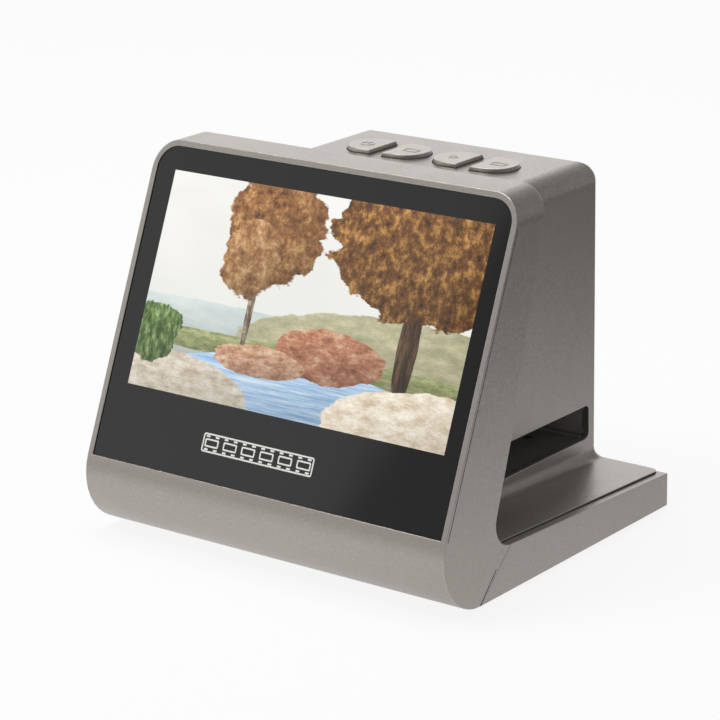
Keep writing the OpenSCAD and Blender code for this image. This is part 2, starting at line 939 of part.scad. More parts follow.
module detent_plunger() color([0.85, 0.85, 0.82]) {
    nose_r2 = detent_r - 0.6;
    translate([detent_x, detent_y, 0]) {
        translate([0, 0, roof_z - detent_reach + nose_r2])
        sphere(r = nose_r2);
        translate([0, 0, roof_z - detent_reach + nose_r2])
        cylinder(r = nose_r2, h = guide_t + detent_reach - nose_r2 + 0.5);
        translate([0, 0, guide_top + fit / 2])
        cylinder(r = detent_r, h = detent_flange_t + 1);
    }
}

module detent_spring() color([0.75, 0.75, 0.78]) {
    bottom = guide_top + fit / 2 + detent_flange_t + 1;
    top = guide_top + detent_h - detent_cap_t;
    turns = 5;
    sides = 8;
    per_turn = 12;
    ring = detent_r - spring_wire - 0.3;
    n = turns * per_turn;
    rise = top - bottom - 2 * spring_wire;
    section = [for (j = [0:sides - 1]) spring_wire * dir(360 * j / sides)];
    points = [
        for (i = [0:n])
        let (a = 360 * i / per_turn, z = bottom + spring_wire + rise * i / n)
        for (s = section)
        [(ring + s[0]) * cos(a), (ring + s[0]) * sin(a), z + s[1]]
    ];
    walls = [
        for (i = [0:n - 1])
        for (j = [0:sides - 1])
        let (k = (j + 1) % sides)
        [i * sides + j, (i + 1) * sides + j, (i + 1) * sides + k, i * sides + k]
    ];
    ends = [[for (j = [0:sides - 1]) j], [for (j = [sides - 1:-1:0]) n * sides + j]];
    translate([detent_x, detent_y, 0])
    polyhedron(points, concat(walls, ends), convexity = 10);
}

module detent_cap() color([0.20, 0.20, 0.20]) {
    translate([detent_x, detent_y, 0]) {
        translate([0, 0, guide_top + detent_h - detent_cap_t])
        cylinder(r = detent_r, h = detent_cap_t);
        translate([0, 0, guide_top + detent_h])
        cylinder(r = detent_boss_r, h = detent_cap_t);
    }
}

module diffuser() color([0.95, 0.95, 0.93]) {
    along_z(guide_z - diffuser_t, guide_z)
    gate_window(3);
}

module light_box() color([0.93, 0.93, 0.92]) {
    z0 = lamp_z + lamp_board_t;
    z1 = guide_z - diffuser_t;
    difference() {
        along_z(z0, z1)
        gate_window(3.4);
        along_z(z0 - over, z1 - 1.2)
        gate_window(1.8);
        along_z(z0, z1 + over)
        gate_window(0.6);
    }
}

module lamp_board() color([0.16, 0.36, 0.22]) {
    translate([tower_shift - lamp_half[0], gate_y - lamp_half[1], lamp_z])
    cube([2 * lamp_half[0], 2 * lamp_half[1], lamp_board_t]);
}

module lamps() color([0.98, 0.93, 0.72]) {
    size = [3.5, 2.8, 0.9];
    columns = 4;
    rows = 3;
    for (i = [0:columns - 1])
    for (j = [0:rows - 1])
    translate([
        tower_shift + (i - (columns - 1) / 2) * frame_w / columns - size[0] / 2,
        gate_y + (j - (rows - 1) / 2) * frame_d / rows - size[1] / 2,
        lamp_z + lamp_board_t
    ])
    cube(size);
}

// ---- Camera ----

shroud_flange_t = 2;
shroud_wall = 1.6;
shroud_top = guide_top + shroud_h;
neck_r = lens_r + 3;
holder_r = lens_r + 2;
holder_top = shroud_top + holder_h;
barrel_z = shroud_top - 5;
barrel_h = 12;
shroud_screw_out = 2.8;
// Image sensor, and how far the guides' and the main board's screws bite
sensor_size = [8, 6.5, 1.4];
guide_screw_bite = 5.5;
board_screw_bite = 6;

module shroud_screw_points() {
    for (a = [45, 135, 225, 315])
    translate([tower_shift, gate_y, 0] + (shroud_r + shroud_screw_out) * [cos(a), sin(a), 0])
    children();
}

module camera_shroud() color([0.10, 0.10, 0.10]) {
    z0 = guide_top + 2;
    difference() {
        union() {
            translate([tower_shift, gate_y, guide_top])
            cylinder(r = shroud_r, h = shroud_flange_t + 2);
            translate([tower_shift, gate_y, guide_top + shroud_flange_t + 2])
            cylinder(r1 = shroud_r, r2 = neck_r + shroud_wall, h = shroud_h - shroud_flange_t - 4);
            translate([tower_shift, gate_y, shroud_top - 2])
            cylinder(r = neck_r + shroud_wall, h = 2);
            shroud_screw_points()
            along_z(z0, z0 + shroud_flange_t)
            circle(r = small_head_r + 1.4);
        }
        translate([tower_shift, gate_y, guide_top - over])
        cylinder(r = shroud_r - shroud_wall, h = shroud_flange_t + 2 + over);
        translate([tower_shift, gate_y, guide_top + shroud_flange_t + 2 - 0.01])
        cylinder(r1 = shroud_r - shroud_wall, r2 = neck_r, h = shroud_h - shroud_flange_t - 4);
        translate([tower_shift, gate_y, shroud_top - 5])
        cylinder(r = lens_r + fit, h = 5 + over);
        shroud_screw_points()
        along_z(z0 - over, z0 + shroud_flange_t + over)
        circle(r = small_r + fit);
    }
}

module shroud_screws() color([0.30, 0.30, 0.32]) {
    shroud_screw_points()
    translate([0, 0, guide_top + 2 + shroud_flange_t])
    mirror([0, 0, 1])
    screw_up(small_r - shaft_fit, shroud_flange_t + 2.6, small_head_r, small_head_h);
}

module sensor_screw_points() {
    for (x = [-1, 1])
    translate([tower_shift + x * (sensor_side / 2 - 3.5), gate_y, 0])
    children();
}

module lens_holder() color([0.12, 0.12, 0.12]) {
    plate_t = 3;
    difference() {
        union() {
            translate([tower_shift, gate_y, shroud_top])
            cylinder(r = holder_r, h = holder_h);
            translate([tower_shift, gate_y, shroud_top])
            cylinder(r = neck_r + shroud_wall, h = 1.6);
            translate([tower_shift - sensor_side / 2, gate_y - holder_r, holder_top - plate_t])
            cube([sensor_side, 2 * holder_r, plate_t]);
        }
        translate([tower_shift, gate_y, shroud_top - over])
        cylinder(r = lens_r + shaft_fit, h = holder_h + 2 * over);
        sensor_screw_points()
        along_z(holder_top - plate_t + 0.6, holder_top + over)
        circle(r = small_r);
    }
}

module lens_barrel() color([0.08, 0.08, 0.09]) {
    translate([tower_shift, gate_y, barrel_z])
    difference() {
        cylinder(r = lens_r, h = barrel_h);
        translate([0, 0, -over])
        cylinder(r = lens_r - 1.2, h = 4 + over);
        translate([0, 0, 3])
        cylinder(r = lens_r - 2.4, h = barrel_h);
        translate([0, 0, barrel_h - 4])
        cylinder(r = lens_r - 1.2, h = 4 + over);
    }
}

// A biconvex lens: two sphere caps and a ground edge
module lens_element(r, bulge, edge) {
    ball = (r * r + bulge * bulge) / (2 * bulge);
    cylinder(r = r, h = edge);
    intersection() {
        translate([0, 0, edge + bulge - ball])
        sphere(r = ball);
        translate([0, 0, edge - 0.01])
        cylinder(r = r, h = ball);
    }
}

module lens_elements() color([0.70, 0.82, 0.92]) {
    r = lens_r - 1.2 - shaft_fit;
    translate([tower_shift, gate_y, barrel_z + 4])
    mirror([0, 0, 1])
    lens_element(r, 1.2, 1.6);
    translate([tower_shift, gate_y, barrel_z + barrel_h - 4])
    lens_element(r, 1, 1.4);
}

module sensor_board() color([0.12, 0.30, 0.42]) {
    difference() {
        translate([tower_shift - sensor_side / 2, gate_y - sensor_side / 2, holder_top])
        cube([sensor_side, sensor_side, board_t]);
        sensor_screw_points()
        along_z(holder_top - over, holder_top + board_t + over)
        circle(r = small_r + fit);
    }
}

module image_sensor() color([0.25, 0.25, 0.30]) {
    translate([tower_shift - sensor_size[0] / 2, gate_y - sensor_size[1] / 2, holder_top - sensor_size[2]])
    cube(sensor_size);
}

module sensor_screws() color([0.30, 0.30, 0.32]) {
    sensor_screw_points()
    translate([0, 0, holder_top + board_t])
    mirror([0, 0, 1])
    screw_up(small_r - shaft_fit, board_t + 2.2, small_head_r, small_head_h);
}

// ---- Boards and sockets ----

module main_board() color([0.13, 0.33, 0.24]) {
    difference() {
        translate([main_x - main_w / 2, main_y0, main_top - board_t])
        cube([main_w, main_d, board_t]);
        main_post_points()
        along_z(main_top - board_t - over, main_top + over)
        circle(r = small_r + fit);
    }
}

processor_size = [12, 12, 1.2];
memory_size = [9, 11, 1];
regulator_size = [8, 6, 1.2];
chip_gap = 5;
ribbon_t = 0.3;
lcd_ribbon_w = 14;
lamp_ribbon_w = 6;
board_ribbon_w = 8;
ribbon_foot = 3;
plug_h = 1.6;
plug_d = 4;
plug_in = 1;
plug_side = 1;
lamp_ribbon_x = tower_shift - frame_w / 2 - plug_side;

chip_x = main_x - processor_size[0] / 3;

module main_board_chips() color([0.14, 0.14, 0.15]) {
    chip_y = main_y0 + main_d - card_size[1];
    translate([chip_x, chip_y, main_top])
    cube(processor_size);
    translate([chip_x + processor_size[0] + chip_gap, chip_y + 1, main_top])
    cube(memory_size);
    translate([card_x - regulator_size[0] / 2, main_y0 + chip_gap, main_top])
    cube(regulator_size);
    // Sockets of the display's and the lamps' ribbons, under the front edge
    for (socket = [[main_x, lcd_ribbon_w + 2 * plug_side], [lamp_ribbon_x, lamp_ribbon_w + 2 * plug_side]])
    translate([socket[0] - socket[1] / 2, main_y0 + plug_in, main_top - board_t - plug_h])
    cube([socket[1], plug_d, plug_h]);
}

module main_board_screws() color([0.30, 0.30, 0.32]) {
    main_post_points()
    translate([0, 0, main_top - board_t])
    screw_up(small_r - shaft_fit, board_t + board_screw_bite, small_head_r, small_head_h);
}

module socket_shell(x, size, r, tongue) {
    y1 = tower_back - socket_in;
    translate([x, 0, main_top])
    difference() {
        along_y(y1 - size[1], y1)
        polygon(rounded(-size[0] / 2, 0, size[0] / 2, size[2], r));
        along_y(y1 - size[1] + 1, y1 + over)
        polygon(rounded(-size[0] / 2 + 0.3, 0.3, size[0] / 2 - 0.3, size[2] - 0.3, r - 0.2));
    }
    translate([x, 0, main_top])
    along_y(y1 - size[1] + 0.5, y1 - 1)
    polygon(rect(-tongue / 2, size[2] / 2 - 0.4, tongue / 2, size[2] / 2 + 0.4));
}

module card_socket() color([0.70, 0.70, 0.70]) {
    socket_shell(card_x, card_size, 0.3, 0.4);
}

module usb_socket() color([0.72, 0.72, 0.72]) {
    socket_shell(usb_x, usb_size, 1.3, 6);
}

module hdmi_socket() color([0.74, 0.74, 0.72]) {
    socket_shell(hdmi_x, hdmi_size, 0.6, 7.5);
}

// ---- Buttons ----

// Places children at button i: the straight edge of its cap is at x = 0 and the round end points to -X
module at_button(i) {
    pair = floor(i / 2) - 0.5;
    side = i % 2;
    translate([group_x + pair * pair_pitch + (2 * side - 1) * pair_gap / 2, cap_y, 0])
    mirror([side, 0, 0])
    children();
}

module cap_outline(gap) {
    r = cap_d / 2 + gap;
    polygon(concat([[gap, -r], [gap, r]], arc([cap_d / 2 - cap_w, 0], r, 90, 270, 2 * arc_steps)));
}

plunger_r = 1.7;
plunger_in = 2;
plunger_out = press + 0.4;
switch_h = 3.4;
plunger_top = switch_top + switch_h + plunger_out;
flange_z = ceiling_z - fit - flange_t;

module button_cap(i) {
    at_button(i) {
        hull() {
            along_z(tower_z, tower_z + cap_proud / 4)
            cap_outline(0);
            along_z(tower_z, tower_z + cap_proud)
            cap_outline(-cap_bevel);
        }
        along_z(flange_z, tower_z + cap_proud / 8)
        cap_outline(0);
        along_z(flange_z, flange_z + flange_t)
        cap_outline(flange_out);
        post(-cap_w / 2, 0, plunger_top, flange_z + flange_t / 2, plunger_r + 0.5);
    }
}

module plunger(i) {
    at_button(i)
    post(-cap_w / 2, 0, switch_top + switch_h - plunger_in, plunger_top, plunger_r);
}

module power_button() color([0.60, 0.58, 0.57]) button_cap(0);
module capture_button() color([0.60, 0.58, 0.57]) button_cap(1);
module ok_button() color([0.60, 0.58, 0.57]) button_cap(2);
module gallery_button() color([0.60, 0.58, 0.57]) button_cap(3);
module power_plunger() color([0.15, 0.15, 0.15]) plunger(0);
module capture_plunger() color([0.15, 0.15, 0.15]) plunger(1);
module ok_plunger() color([0.15, 0.15, 0.15]) plunger(2);
module gallery_plunger() color([0.15, 0.15, 0.15]) plunger(3);

module switch_bodies() color([0.72, 0.72, 0.73]) {
    depth = plunger_in + press + 0.2;
    for (i = [0:3])
    at_button(i)
    translate([-cap_w / 2, 0, switch_top])
    difference() {
        translate([-switch_side / 2, -switch_side / 2, 0])
        cube([switch_side, switch_side, switch_h]);
        translate([0, 0, switch_h - depth])
        cylinder(r = plunger_r + shaft_fit, h = depth + over);
    }
}

module button_board() color([0.13, 0.33, 0.24]) {
    difference() {
        translate([group_x - switch_board_w / 2, cap_y - switch_board_d / 2, switch_top - board_t])
        cube([switch_board_w, switch_board_d, board_t]);
        switch_post_points()
        along_z(switch_top - board_t - over, switch_top + over)
        circle(r = small_r + fit);
    }
}

module button_board_screws() color([0.30, 0.30, 0.32]) {
    switch_post_points()
    translate([0, 0, switch_top - board_t])
    screw_up(small_r - shaft_fit, board_t + 4, small_head_r, small_head_h);
}

// ---- Flat ribbons ----

ribbon_room = 2;
ribbon_side = 6;

// A flat ribbon whose centre line is an S from p to q, level at both ends, drawn in a side view
module s_ribbon(p, q) {
    n = 16;
    function at(u) = [p[0] + (q[0] - p[0]) * u, p[1] + (q[1] - p[1]) * (1 - cos(180 * u)) / 2];
    polygon(concat(
        [for (i = [0:n]) at(i / n) + [-ribbon_t, ribbon_t] / 2],
        [for (i = [n:-1:0]) at(i / n) - [-ribbon_t, ribbon_t] / 2]
    ));
}

module lcd_ribbon() color([0.80, 0.58, 0.25]) {
    start = face(module_v - 12, carrier_d - backlight_t / 3 + ribbon_t);
    end = [main_y0 + plug_in - ribbon_t / 2, main_top - board_t - plug_h / 2];
    translate([main_x, 0, 0])
    along_x(lcd_ribbon_w)
    s_ribbon(start, end);
}

// Runs forward under the tunnel, up past its guides, and leans back to the main board's front edge
module lamp_ribbon() color([0.85, 0.85, 0.85]) {
    t = ribbon_t;
    start = [gate_y - lamp_half[1], lamp_z + (lamp_board_t - t) / 2];
    out_y = guide_y0 - guide_ear - ribbon_room;
    up_z = guide_top + ribbon_room;
    end = [main_y0 + plug_in, main_top - board_t - plug_h / 2];
    bend_y = end[0] - ribbon_room;
    translate([lamp_ribbon_x, 0, 0])
    along_x(lamp_ribbon_w)
    polygon([
        start + [0, t], start, [out_y, start[1]], [out_y, up_z],
        [bend_y, end[1] + t], end + [0, t], end, [bend_y + t, end[1]],
        [out_y + t, up_z], [out_y + t, start[1] + t]
    ]);
}

// A folded ribbon between two boards, lying on z0 and under z1 and bent out at out_y between them
module folded_ribbon(y0, out_y, z0, z1) {
    t = ribbon_t;
    s = sign(out_y - y0);
    middle = (z0 + z1) / 2;
    end = y0 - s * ribbon_foot;
    polygon([
        [end, z0], [y0, z0], [out_y, middle], [y0, z1], [end, z1],
        [end, z1 - t], [y0 - s * t, z1 - t], [out_y - 2 * s * t, middle], [y0 - s * t, z0 + t], [end, z0 + t]
    ]);
}

module sensor_ribbon() color([0.80, 0.58, 0.25]) {
    start_y = gate_y + sensor_side / 2 - 2;
    translate([tower_shift + ribbon_side, 0, 0])
    along_x(board_ribbon_w)
    folded_ribbon(start_y, start_y + 4, holder_top + board_t, main_top - board_t);
}

module button_ribbon() color([0.80, 0.58, 0.25]) {
    // It stands beside the processor and in front of the card socket
    start_y = min(cap_y - switch_board_d / 2 + 3,
        tower_back - socket_in - card_size[1] - head_gap - ribbon_foot);
    translate([chip_x - board_ribbon_w / 2 - 1, 0, 0])
    along_x(board_ribbon_w)
    folded_ribbon(start_y, start_y - 5, main_top, switch_top - board_t);
}

front_shell();
rear_cover();
base_pan();
rubber_feet();
case_screws();
display_window();
window_tape();
lcd_cell();
lcd_backlight();
lcd_carrier();
carrier_screws();
power_button();
capture_button();
ok_button();
gallery_button();
power_plunger();
capture_plunger();
ok_plunger();
gallery_plunger();
switch_bodies();
button_board();
button_board_screws();
main_board();
main_board_chips();
main_board_screws();
card_socket();
usb_socket();
hdmi_socket();
lower_guide();
upper_guide();
guide_screws();
detent_plunger();
detent_spring();
detent_cap();
diffuser();
light_box();
lamp_board();
lamps();
camera_shroud();
shroud_screws();
lens_holder();
lens_barrel();
lens_elements();
sensor_board();
image_sensor();
sensor_screws();
lcd_ribbon();
button_ribbon();
sensor_ribbon();
lamp_ribbon();
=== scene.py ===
"""Finishes of a desktop film scanner, the picture on its display, and a plain studio round it."""
import math

import bmesh
import bpy
from bpy.props import FloatProperty, FloatVectorProperty, PointerProperty
from mathutils import Matrix, Vector


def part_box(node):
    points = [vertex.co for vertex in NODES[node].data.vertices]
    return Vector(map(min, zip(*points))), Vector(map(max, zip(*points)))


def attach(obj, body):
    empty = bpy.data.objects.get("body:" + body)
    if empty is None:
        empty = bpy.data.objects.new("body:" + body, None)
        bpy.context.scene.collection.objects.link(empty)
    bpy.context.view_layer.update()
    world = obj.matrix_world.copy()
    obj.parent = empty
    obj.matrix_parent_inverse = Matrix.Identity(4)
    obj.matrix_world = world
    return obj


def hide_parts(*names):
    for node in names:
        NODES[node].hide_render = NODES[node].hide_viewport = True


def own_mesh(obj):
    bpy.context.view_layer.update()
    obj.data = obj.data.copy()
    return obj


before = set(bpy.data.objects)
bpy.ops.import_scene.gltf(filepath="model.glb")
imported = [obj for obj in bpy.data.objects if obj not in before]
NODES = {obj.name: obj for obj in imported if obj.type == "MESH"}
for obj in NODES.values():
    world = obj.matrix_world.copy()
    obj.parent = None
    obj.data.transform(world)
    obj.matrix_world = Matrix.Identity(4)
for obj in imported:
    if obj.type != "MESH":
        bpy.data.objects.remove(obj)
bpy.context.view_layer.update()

bl_info = {
    "name": "Film Scanner Finishes",
    "version": (1, 0, 0),
    "blender": (4, 5, 0),
    "location": "3D View > Sidebar > Film Scanner",
    "description": "Gives each piece of a desktop film scanner its finish and sets it in a studio",
    "category": "Material",
}

MM = 0.001
KEYS = ("power", "capture", "ok", "gallery")


# ---- Colours and nodes ----

def linear(colour):
    """An sRGB hex colour as linear red, green and blue."""
    shares = [int(colour[i:i + 2], 16) / 255 for i in (1, 3, 5)]
    return tuple(s / 12.92 if s <= 0.04045 else ((s + 0.055) / 1.055) ** 2.4 for s in shares)


def flat(value):
    """A grey of one value."""
    return (value, value, value)


def toned(colour, share):
    """A colour made darker or paler, at most to full."""
    return [min(c * share, 1) for c in colour]


def add(tree, kind, inputs=None, stops=None, **settings):
    """Adds a node with its settings. An input, by name or number, takes a value, socket or node."""
    made = tree.nodes.new(kind)
    for name, value in settings.items():
        setattr(made, name, value)
    for name, value in (inputs or {}).items():
        by_name = [s for s in made.inputs if s.enabled and s.name == name]
        socket = by_name[0] if by_name else made.inputs[name]
        if isinstance(value, bpy.types.Node):
            value = next(s for s in value.outputs if s.enabled)
        if isinstance(value, bpy.types.NodeSocket):
            tree.links.new(value, socket)
        elif socket.type == "RGBA":
            socket.default_value = (*value[:3], 1)
        else:
            socket.default_value = value
    if stops:
        steps = made.color_ramp.elements
        while len(steps) < len(stops):
            steps.new(1)
        for step, (place, colour) in zip(steps, stops):
            step.position = place
            step.color = (*colour[:3], 1)
    return made


def material(name):
    """A new material and its empty node tree."""
    made = bpy.data.materials.new(name)
    made.use_nodes = True
    made.node_tree.nodes.clear()
    return made, made.node_tree


def surface(tree, inputs):
    """Ends a material's tree with a Principled shader."""
    shader = add(tree, "ShaderNodeBsdfPrincipled", inputs)
    add(tree, "ShaderNodeOutputMaterial", {"Surface": shader})


def grain(tree, size, detail=2.0, kind="ShaderNodeTexNoise"):
    """A noise or cell pattern over the object, with grains of a size in metres."""
    place = add(tree, "ShaderNodeTexCoord").outputs["Object"]
    inputs = {"Vector": place, "Scale": 1 / size}
    if kind == "ShaderNodeTexNoise":
        inputs["Detail"] = detail
    return add(tree, kind, inputs)


# ---- Materials ----

MOTTLE = 14 * MM              # size of the patches in which the lacquer's gloss changes
FLAKE_LEAN = 0.12             # how far a flake leans out of the surface
DULL_FLAKE = 0.92             # tones of the dullest and brightest flakes against the lacquer's
BRIGHT_FLAKE = 1.12
METAL_SHARE = 0.88            # flakes against clear binder
POLISH_HIGHLIGHT_TONE = 1.9                # tone of an edge's polish and painted highlight against the lacquer's
POLISH_HIGHLIGHT_SHARE = 0.55             # how much of that tone an edge takes
EDGE_TURN = (0.995, 0.90)     # cosines of the turns at which an edge's polish and painted highlight start and end
NOOK_REACH = 1.2 * MM         # how near a wall has to stand to cast painted shade into a seam
NOOK_OPEN = (0.45, 0.85)      # openness at which a seam's painted shade is darkest and at which it ends
NOOK_LEFT = 0.25              # share of the lacquer's colour left under the darkest painted shade
SEAM_SHADE_TONE = 0.01              # tone of the painted shade that takes the rest
RAY_SAMPLES = 6


def lacquer(name, colour, roughness, flake, edge):
    """Silver-grey metallic lacquer, sprayed on moulded ABS: a satin sheen, a fine sparkle from the
    flakes, light edges that are partly polish where the coat is thin and partly a painted
    highlight, and painted shade in seams. The real flakes are 0.05 mm; they are drawn several times
    as coarse so that the sparkle shows."""
    made, tree = material(name)
    flakes = grain(tree, flake, kind="ShaderNodeTexVoronoi")
    mottle = grain(tree, MOTTLE)
    soft_edge = add(tree, "ShaderNodeBevel", {"Radius": edge}, samples=RAY_SAMPLES)
    # Each flake lies a little askew, so it catches the light by itself
    tilt = add(tree, "ShaderNodeVectorMath", {0: flakes.outputs["Color"], 1: flat(0.5)},
               operation="SUBTRACT")
    askew = add(tree, "ShaderNodeVectorMath", {0: tilt, 1: flat(FLAKE_LEAN)}, operation="MULTIPLY")
    leaning = add(tree, "ShaderNodeVectorMath", {0: soft_edge, 1: askew})
    normal = add(tree, "ShaderNodeVectorMath", {0: leaning}, operation="NORMALIZE")
    # The mask of the edges' polish and painted highlight: how far the rounded surface turns away
    # from the flat one
    true_normal = add(tree, "ShaderNodeNewGeometry").outputs["Normal"]
    turn = add(tree, "ShaderNodeVectorMath", {0: soft_edge, 1: true_normal},
               operation="DOT_PRODUCT")
    polish_and_highlight = add(tree, "ShaderNodeMapRange", {
        "Value": turn.outputs["Value"], "From Min": EDGE_TURN[0], "From Max": EDGE_TURN[1],
        "To Min": 0.0, "To Max": POLISH_HIGHLIGHT_SHARE,
    })
    # Painted shade: seams and inner corners are darkened, and lose the edges' polish and painted
    # highlight
    nook = add(tree, "ShaderNodeAmbientOcclusion", {"Distance": NOOK_REACH}, samples=RAY_SAMPLES)
    unshaded_share = add(tree, "ShaderNodeMapRange", {
        "Value": nook.outputs["AO"], "From Min": NOOK_OPEN[0], "From Max": NOOK_OPEN[1],
        "To Min": NOOK_LEFT, "To Max": 1.0,
    })
    polish_and_highlight = add(tree, "ShaderNodeMath", {0: polish_and_highlight, 1: unshaded_share}, operation="MULTIPLY")
    speck = add(tree, "ShaderNodeSeparateColor", {"Color": flakes.outputs["Color"]})
    shade = add(tree, "ShaderNodeValToRGB", {"Fac": speck.outputs["Red"]}, stops=[
        (0.0, toned(colour, DULL_FLAKE)), (0.85, colour), (1.0, toned(colour, BRIGHT_FLAKE)),
    ])
    # The edges take their polish and painted highlight, then the seams take their painted shade
    coated = add(tree, "ShaderNodeMix", {
        "Factor": polish_and_highlight, "A": shade.outputs["Color"], "B": toned(colour, POLISH_HIGHLIGHT_TONE),
    }, data_type="RGBA")
    coated = add(tree, "ShaderNodeMix", {"Factor": unshaded_share, "A": flat(SEAM_SHADE_TONE), "B": coated},
                 data_type="RGBA")
    gloss = add(tree, "ShaderNodeMapRange", {
        "Value": mottle.outputs["Fac"], "To Min": roughness - 0.04, "To Max": roughness + 0.05,
    })
    surface(tree, {"Base Color": coated, "Metallic": METAL_SHARE, "Roughness": gloss,
                   "Normal": normal})
    return made


def moulded(name, colour, roughness, texture, depth):
    """Moulded plastic straight from the tool: an even colour, a satin sheen, and the fine pits of a
    spark-eroded mould."""
    made, tree = material(name)
    pits = grain(tree, texture, detail=4)
    patches = grain(tree, 9 * MM)
    tint = add(tree, "ShaderNodeValToRGB", {"Fac": patches.outputs["Fac"]}, stops=[
        (0.3, toned(colour, 0.88)), (0.7, toned(colour, 1.1)),
    ])
    bump = add(tree, "ShaderNodeBump", {
        "Height": pits.outputs["Fac"], "Distance": depth, "Strength": 0.7,
    })
    gloss = add(tree, "ShaderNodeMapRange", {
        "Value": pits.outputs["Fac"], "To Min": roughness - 0.06, "To Max": roughness + 0.06,
    })
    surface(tree, {"Base Color": tint.outputs["Color"], "Roughness": gloss, "Normal": bump,
                   "IOR": 1.53})
    return made


def rubber():
    """Moulded rubber: dead matt and nearly black, with a dusty bloom."""
    made, tree = material("moulded_rubber")
    bloom = grain(tree, 1.5 * MM, detail=5)
    tint = add(tree, "ShaderNodeValToRGB", {"Fac": bloom.outputs["Fac"]}, stops=[
        (0.35, linear("#191918")), (0.7, linear("#2C2B2A")),
    ])
    bump = add(tree, "ShaderNodeBump", {"Height": bloom.outputs["Fac"], "Distance": 0.05 * MM})
    surface(tree, {"Base Color": tint.outputs["Color"], "Roughness": 0.86, "Normal": bump})
    return made


def metal(name, colour, roughness, stroke):
    """Bare or plated metal with fine drawing marks: a clear metallic sheen, streaked along one
    axis."""
    made, tree = material(name)
    place = add(tree, "ShaderNodeTexCoord").outputs["Object"]
    along = add(tree, "ShaderNodeMapping", {"Vector": place, "Scale": (0.08, 1, 1)})
    streaks = add(tree, "ShaderNodeTexNoise", {"Vector": along, "Scale": 1 / stroke, "Detail": 3})
    tint = add(tree, "ShaderNodeValToRGB", {"Fac": streaks.outputs["Fac"]}, stops=[
        (0.3, toned(colour, 0.85)), (0.7, colour),
    ])
    gloss = add(tree, "ShaderNodeMapRange", {
        "Value": streaks.outputs["Fac"], "To Min": roughness - 0.06, "To Max": roughness + 0.1,
    })
    bump = add(tree, "ShaderNodeBump", {"Height": streaks.outputs["Fac"], "Distance": 0.01 * MM})
    surface(tree, {"Base Color": tint.outputs["Color"], "Metallic": 1, "Roughness": gloss,
                   "Normal": bump})
    return made


def circuit_board(name, mask, track):
    """Solder mask over copper on glass-fibre board: a deep glossy colour, with the tracks standing
    a hair proud and paler than the board between them."""
    made, tree = material(name)
    place = add(tree, "ShaderNodeTexCoord").outputs["Object"]
    tracks = add(tree, "ShaderNodeTexBrick", {
        "Vector": place, "Color1": flat(0), "Color2": flat(0.15), "Mortar": flat(1),
        "Scale": 1 / (5 * MM), "Mortar Size": 0.03, "Brick Width": 0.9, "Row Height": 0.22,
    }, offset=0.37, squash=0.6)
    tint = add(tree, "ShaderNodeValToRGB", {"Fac": tracks.outputs["Color"]},
               stops=[(0, mask), (1, track)])
    bump = add(tree, "ShaderNodeBump", {"Height": tracks.outputs["Color"], "Distance": 0.03 * MM})
    surface(tree, {"Base Color": tint.outputs["Color"], "Roughness": 0.28, "Normal": bump,
                   "IOR": 1.5})
    return made


WAVE_RATE = 20    # radians by which a wave texture of scale 1 goes on in one unit


def flat_cable(name, film, core, step):
    """Copper conductors laminated in film: glossy, with a conductor every 2 pi steps across its
    width."""
    made, tree = material(name)
    place = add(tree, "ShaderNodeTexCoord").outputs["Object"]
    bars = add(tree, "ShaderNodeTexWave", {
        "Vector": place, "Scale": 1 / (step * WAVE_RATE), "Distortion": 0,
    }, bands_direction="X", wave_profile="TRI")
    tint = add(tree, "ShaderNodeValToRGB", {"Fac": bars.outputs["Fac"]},
               stops=[(0.35, film), (0.6, core)])
    bump = add(tree, "ShaderNodeBump", {"Height": bars.outputs["Fac"], "Distance": 0.04 * MM})
    surface(tree, {"Base Color": tint.outputs["Color"], "Roughness": 0.3, "Normal": bump})
    return made


def cast_acrylic():
    """Cast acrylic, printed black on its back: polished, so it mirrors the room softly over deep
    black."""
    made, tree = material("back_printed_acrylic")
    haze = grain(tree, 22 * MM)
    gloss = add(tree, "ShaderNodeMapRange", {
        "Value": haze.outputs["Fac"], "To Min": 0.05, "To Max": 0.1,
    })
    tint = add(tree, "ShaderNodeValToRGB", {"Fac": haze.outputs["Fac"]}, stops=[
        (0.3, linear("#0D0B0A")), (0.7, linear("#12100E")),
    ])
    surface(tree, {"Base Color": tint.outputs["Color"], "Roughness": gloss, "IOR": 1.49})
    return made


def optical_glass():
    """Ground and coated optical glass: clear, with the faint blue of its coating."""
    made, tree = material("coated_optical_glass")
    tint = add(tree, "ShaderNodeValToRGB", {"Fac": grain(tree, 4 * MM).outputs["Fac"]}, stops=[
        (0.3, linear("#DDE9F5")), (0.7, linear("#EEF4FA")),
    ])
    surface(tree, {"Base Color": tint.outputs["Color"], "Roughness": 0.02, "IOR": 1.62,
                   "Transmission Weight": 0.9, "Coat Weight": 0.4,
                   "Coat Tint": linear("#8FA8FF")})
    return made


def printed_white():
    """White screen-printing ink: slightly raised, opaque and satin."""
    made, tree = material("screen_printed_ink")
    weave = grain(tree, 0.3 * MM, detail=3)
    tint = add(tree, "ShaderNodeValToRGB", {"Fac": weave.outputs["Fac"]}, stops=[
        (0.3, linear("#ECEBE8")), (0.6, linear("#F7F6F3")),
    ])
    bump = add(tree, "ShaderNodeBump", {"Height": weave.outputs["Fac"], "Distance": 0.01 * MM})
    surface(tree, {"Base Color": tint.outputs["Color"], "Roughness": 0.5, "Normal": bump})
    return made


# ---- The picture on the display ----

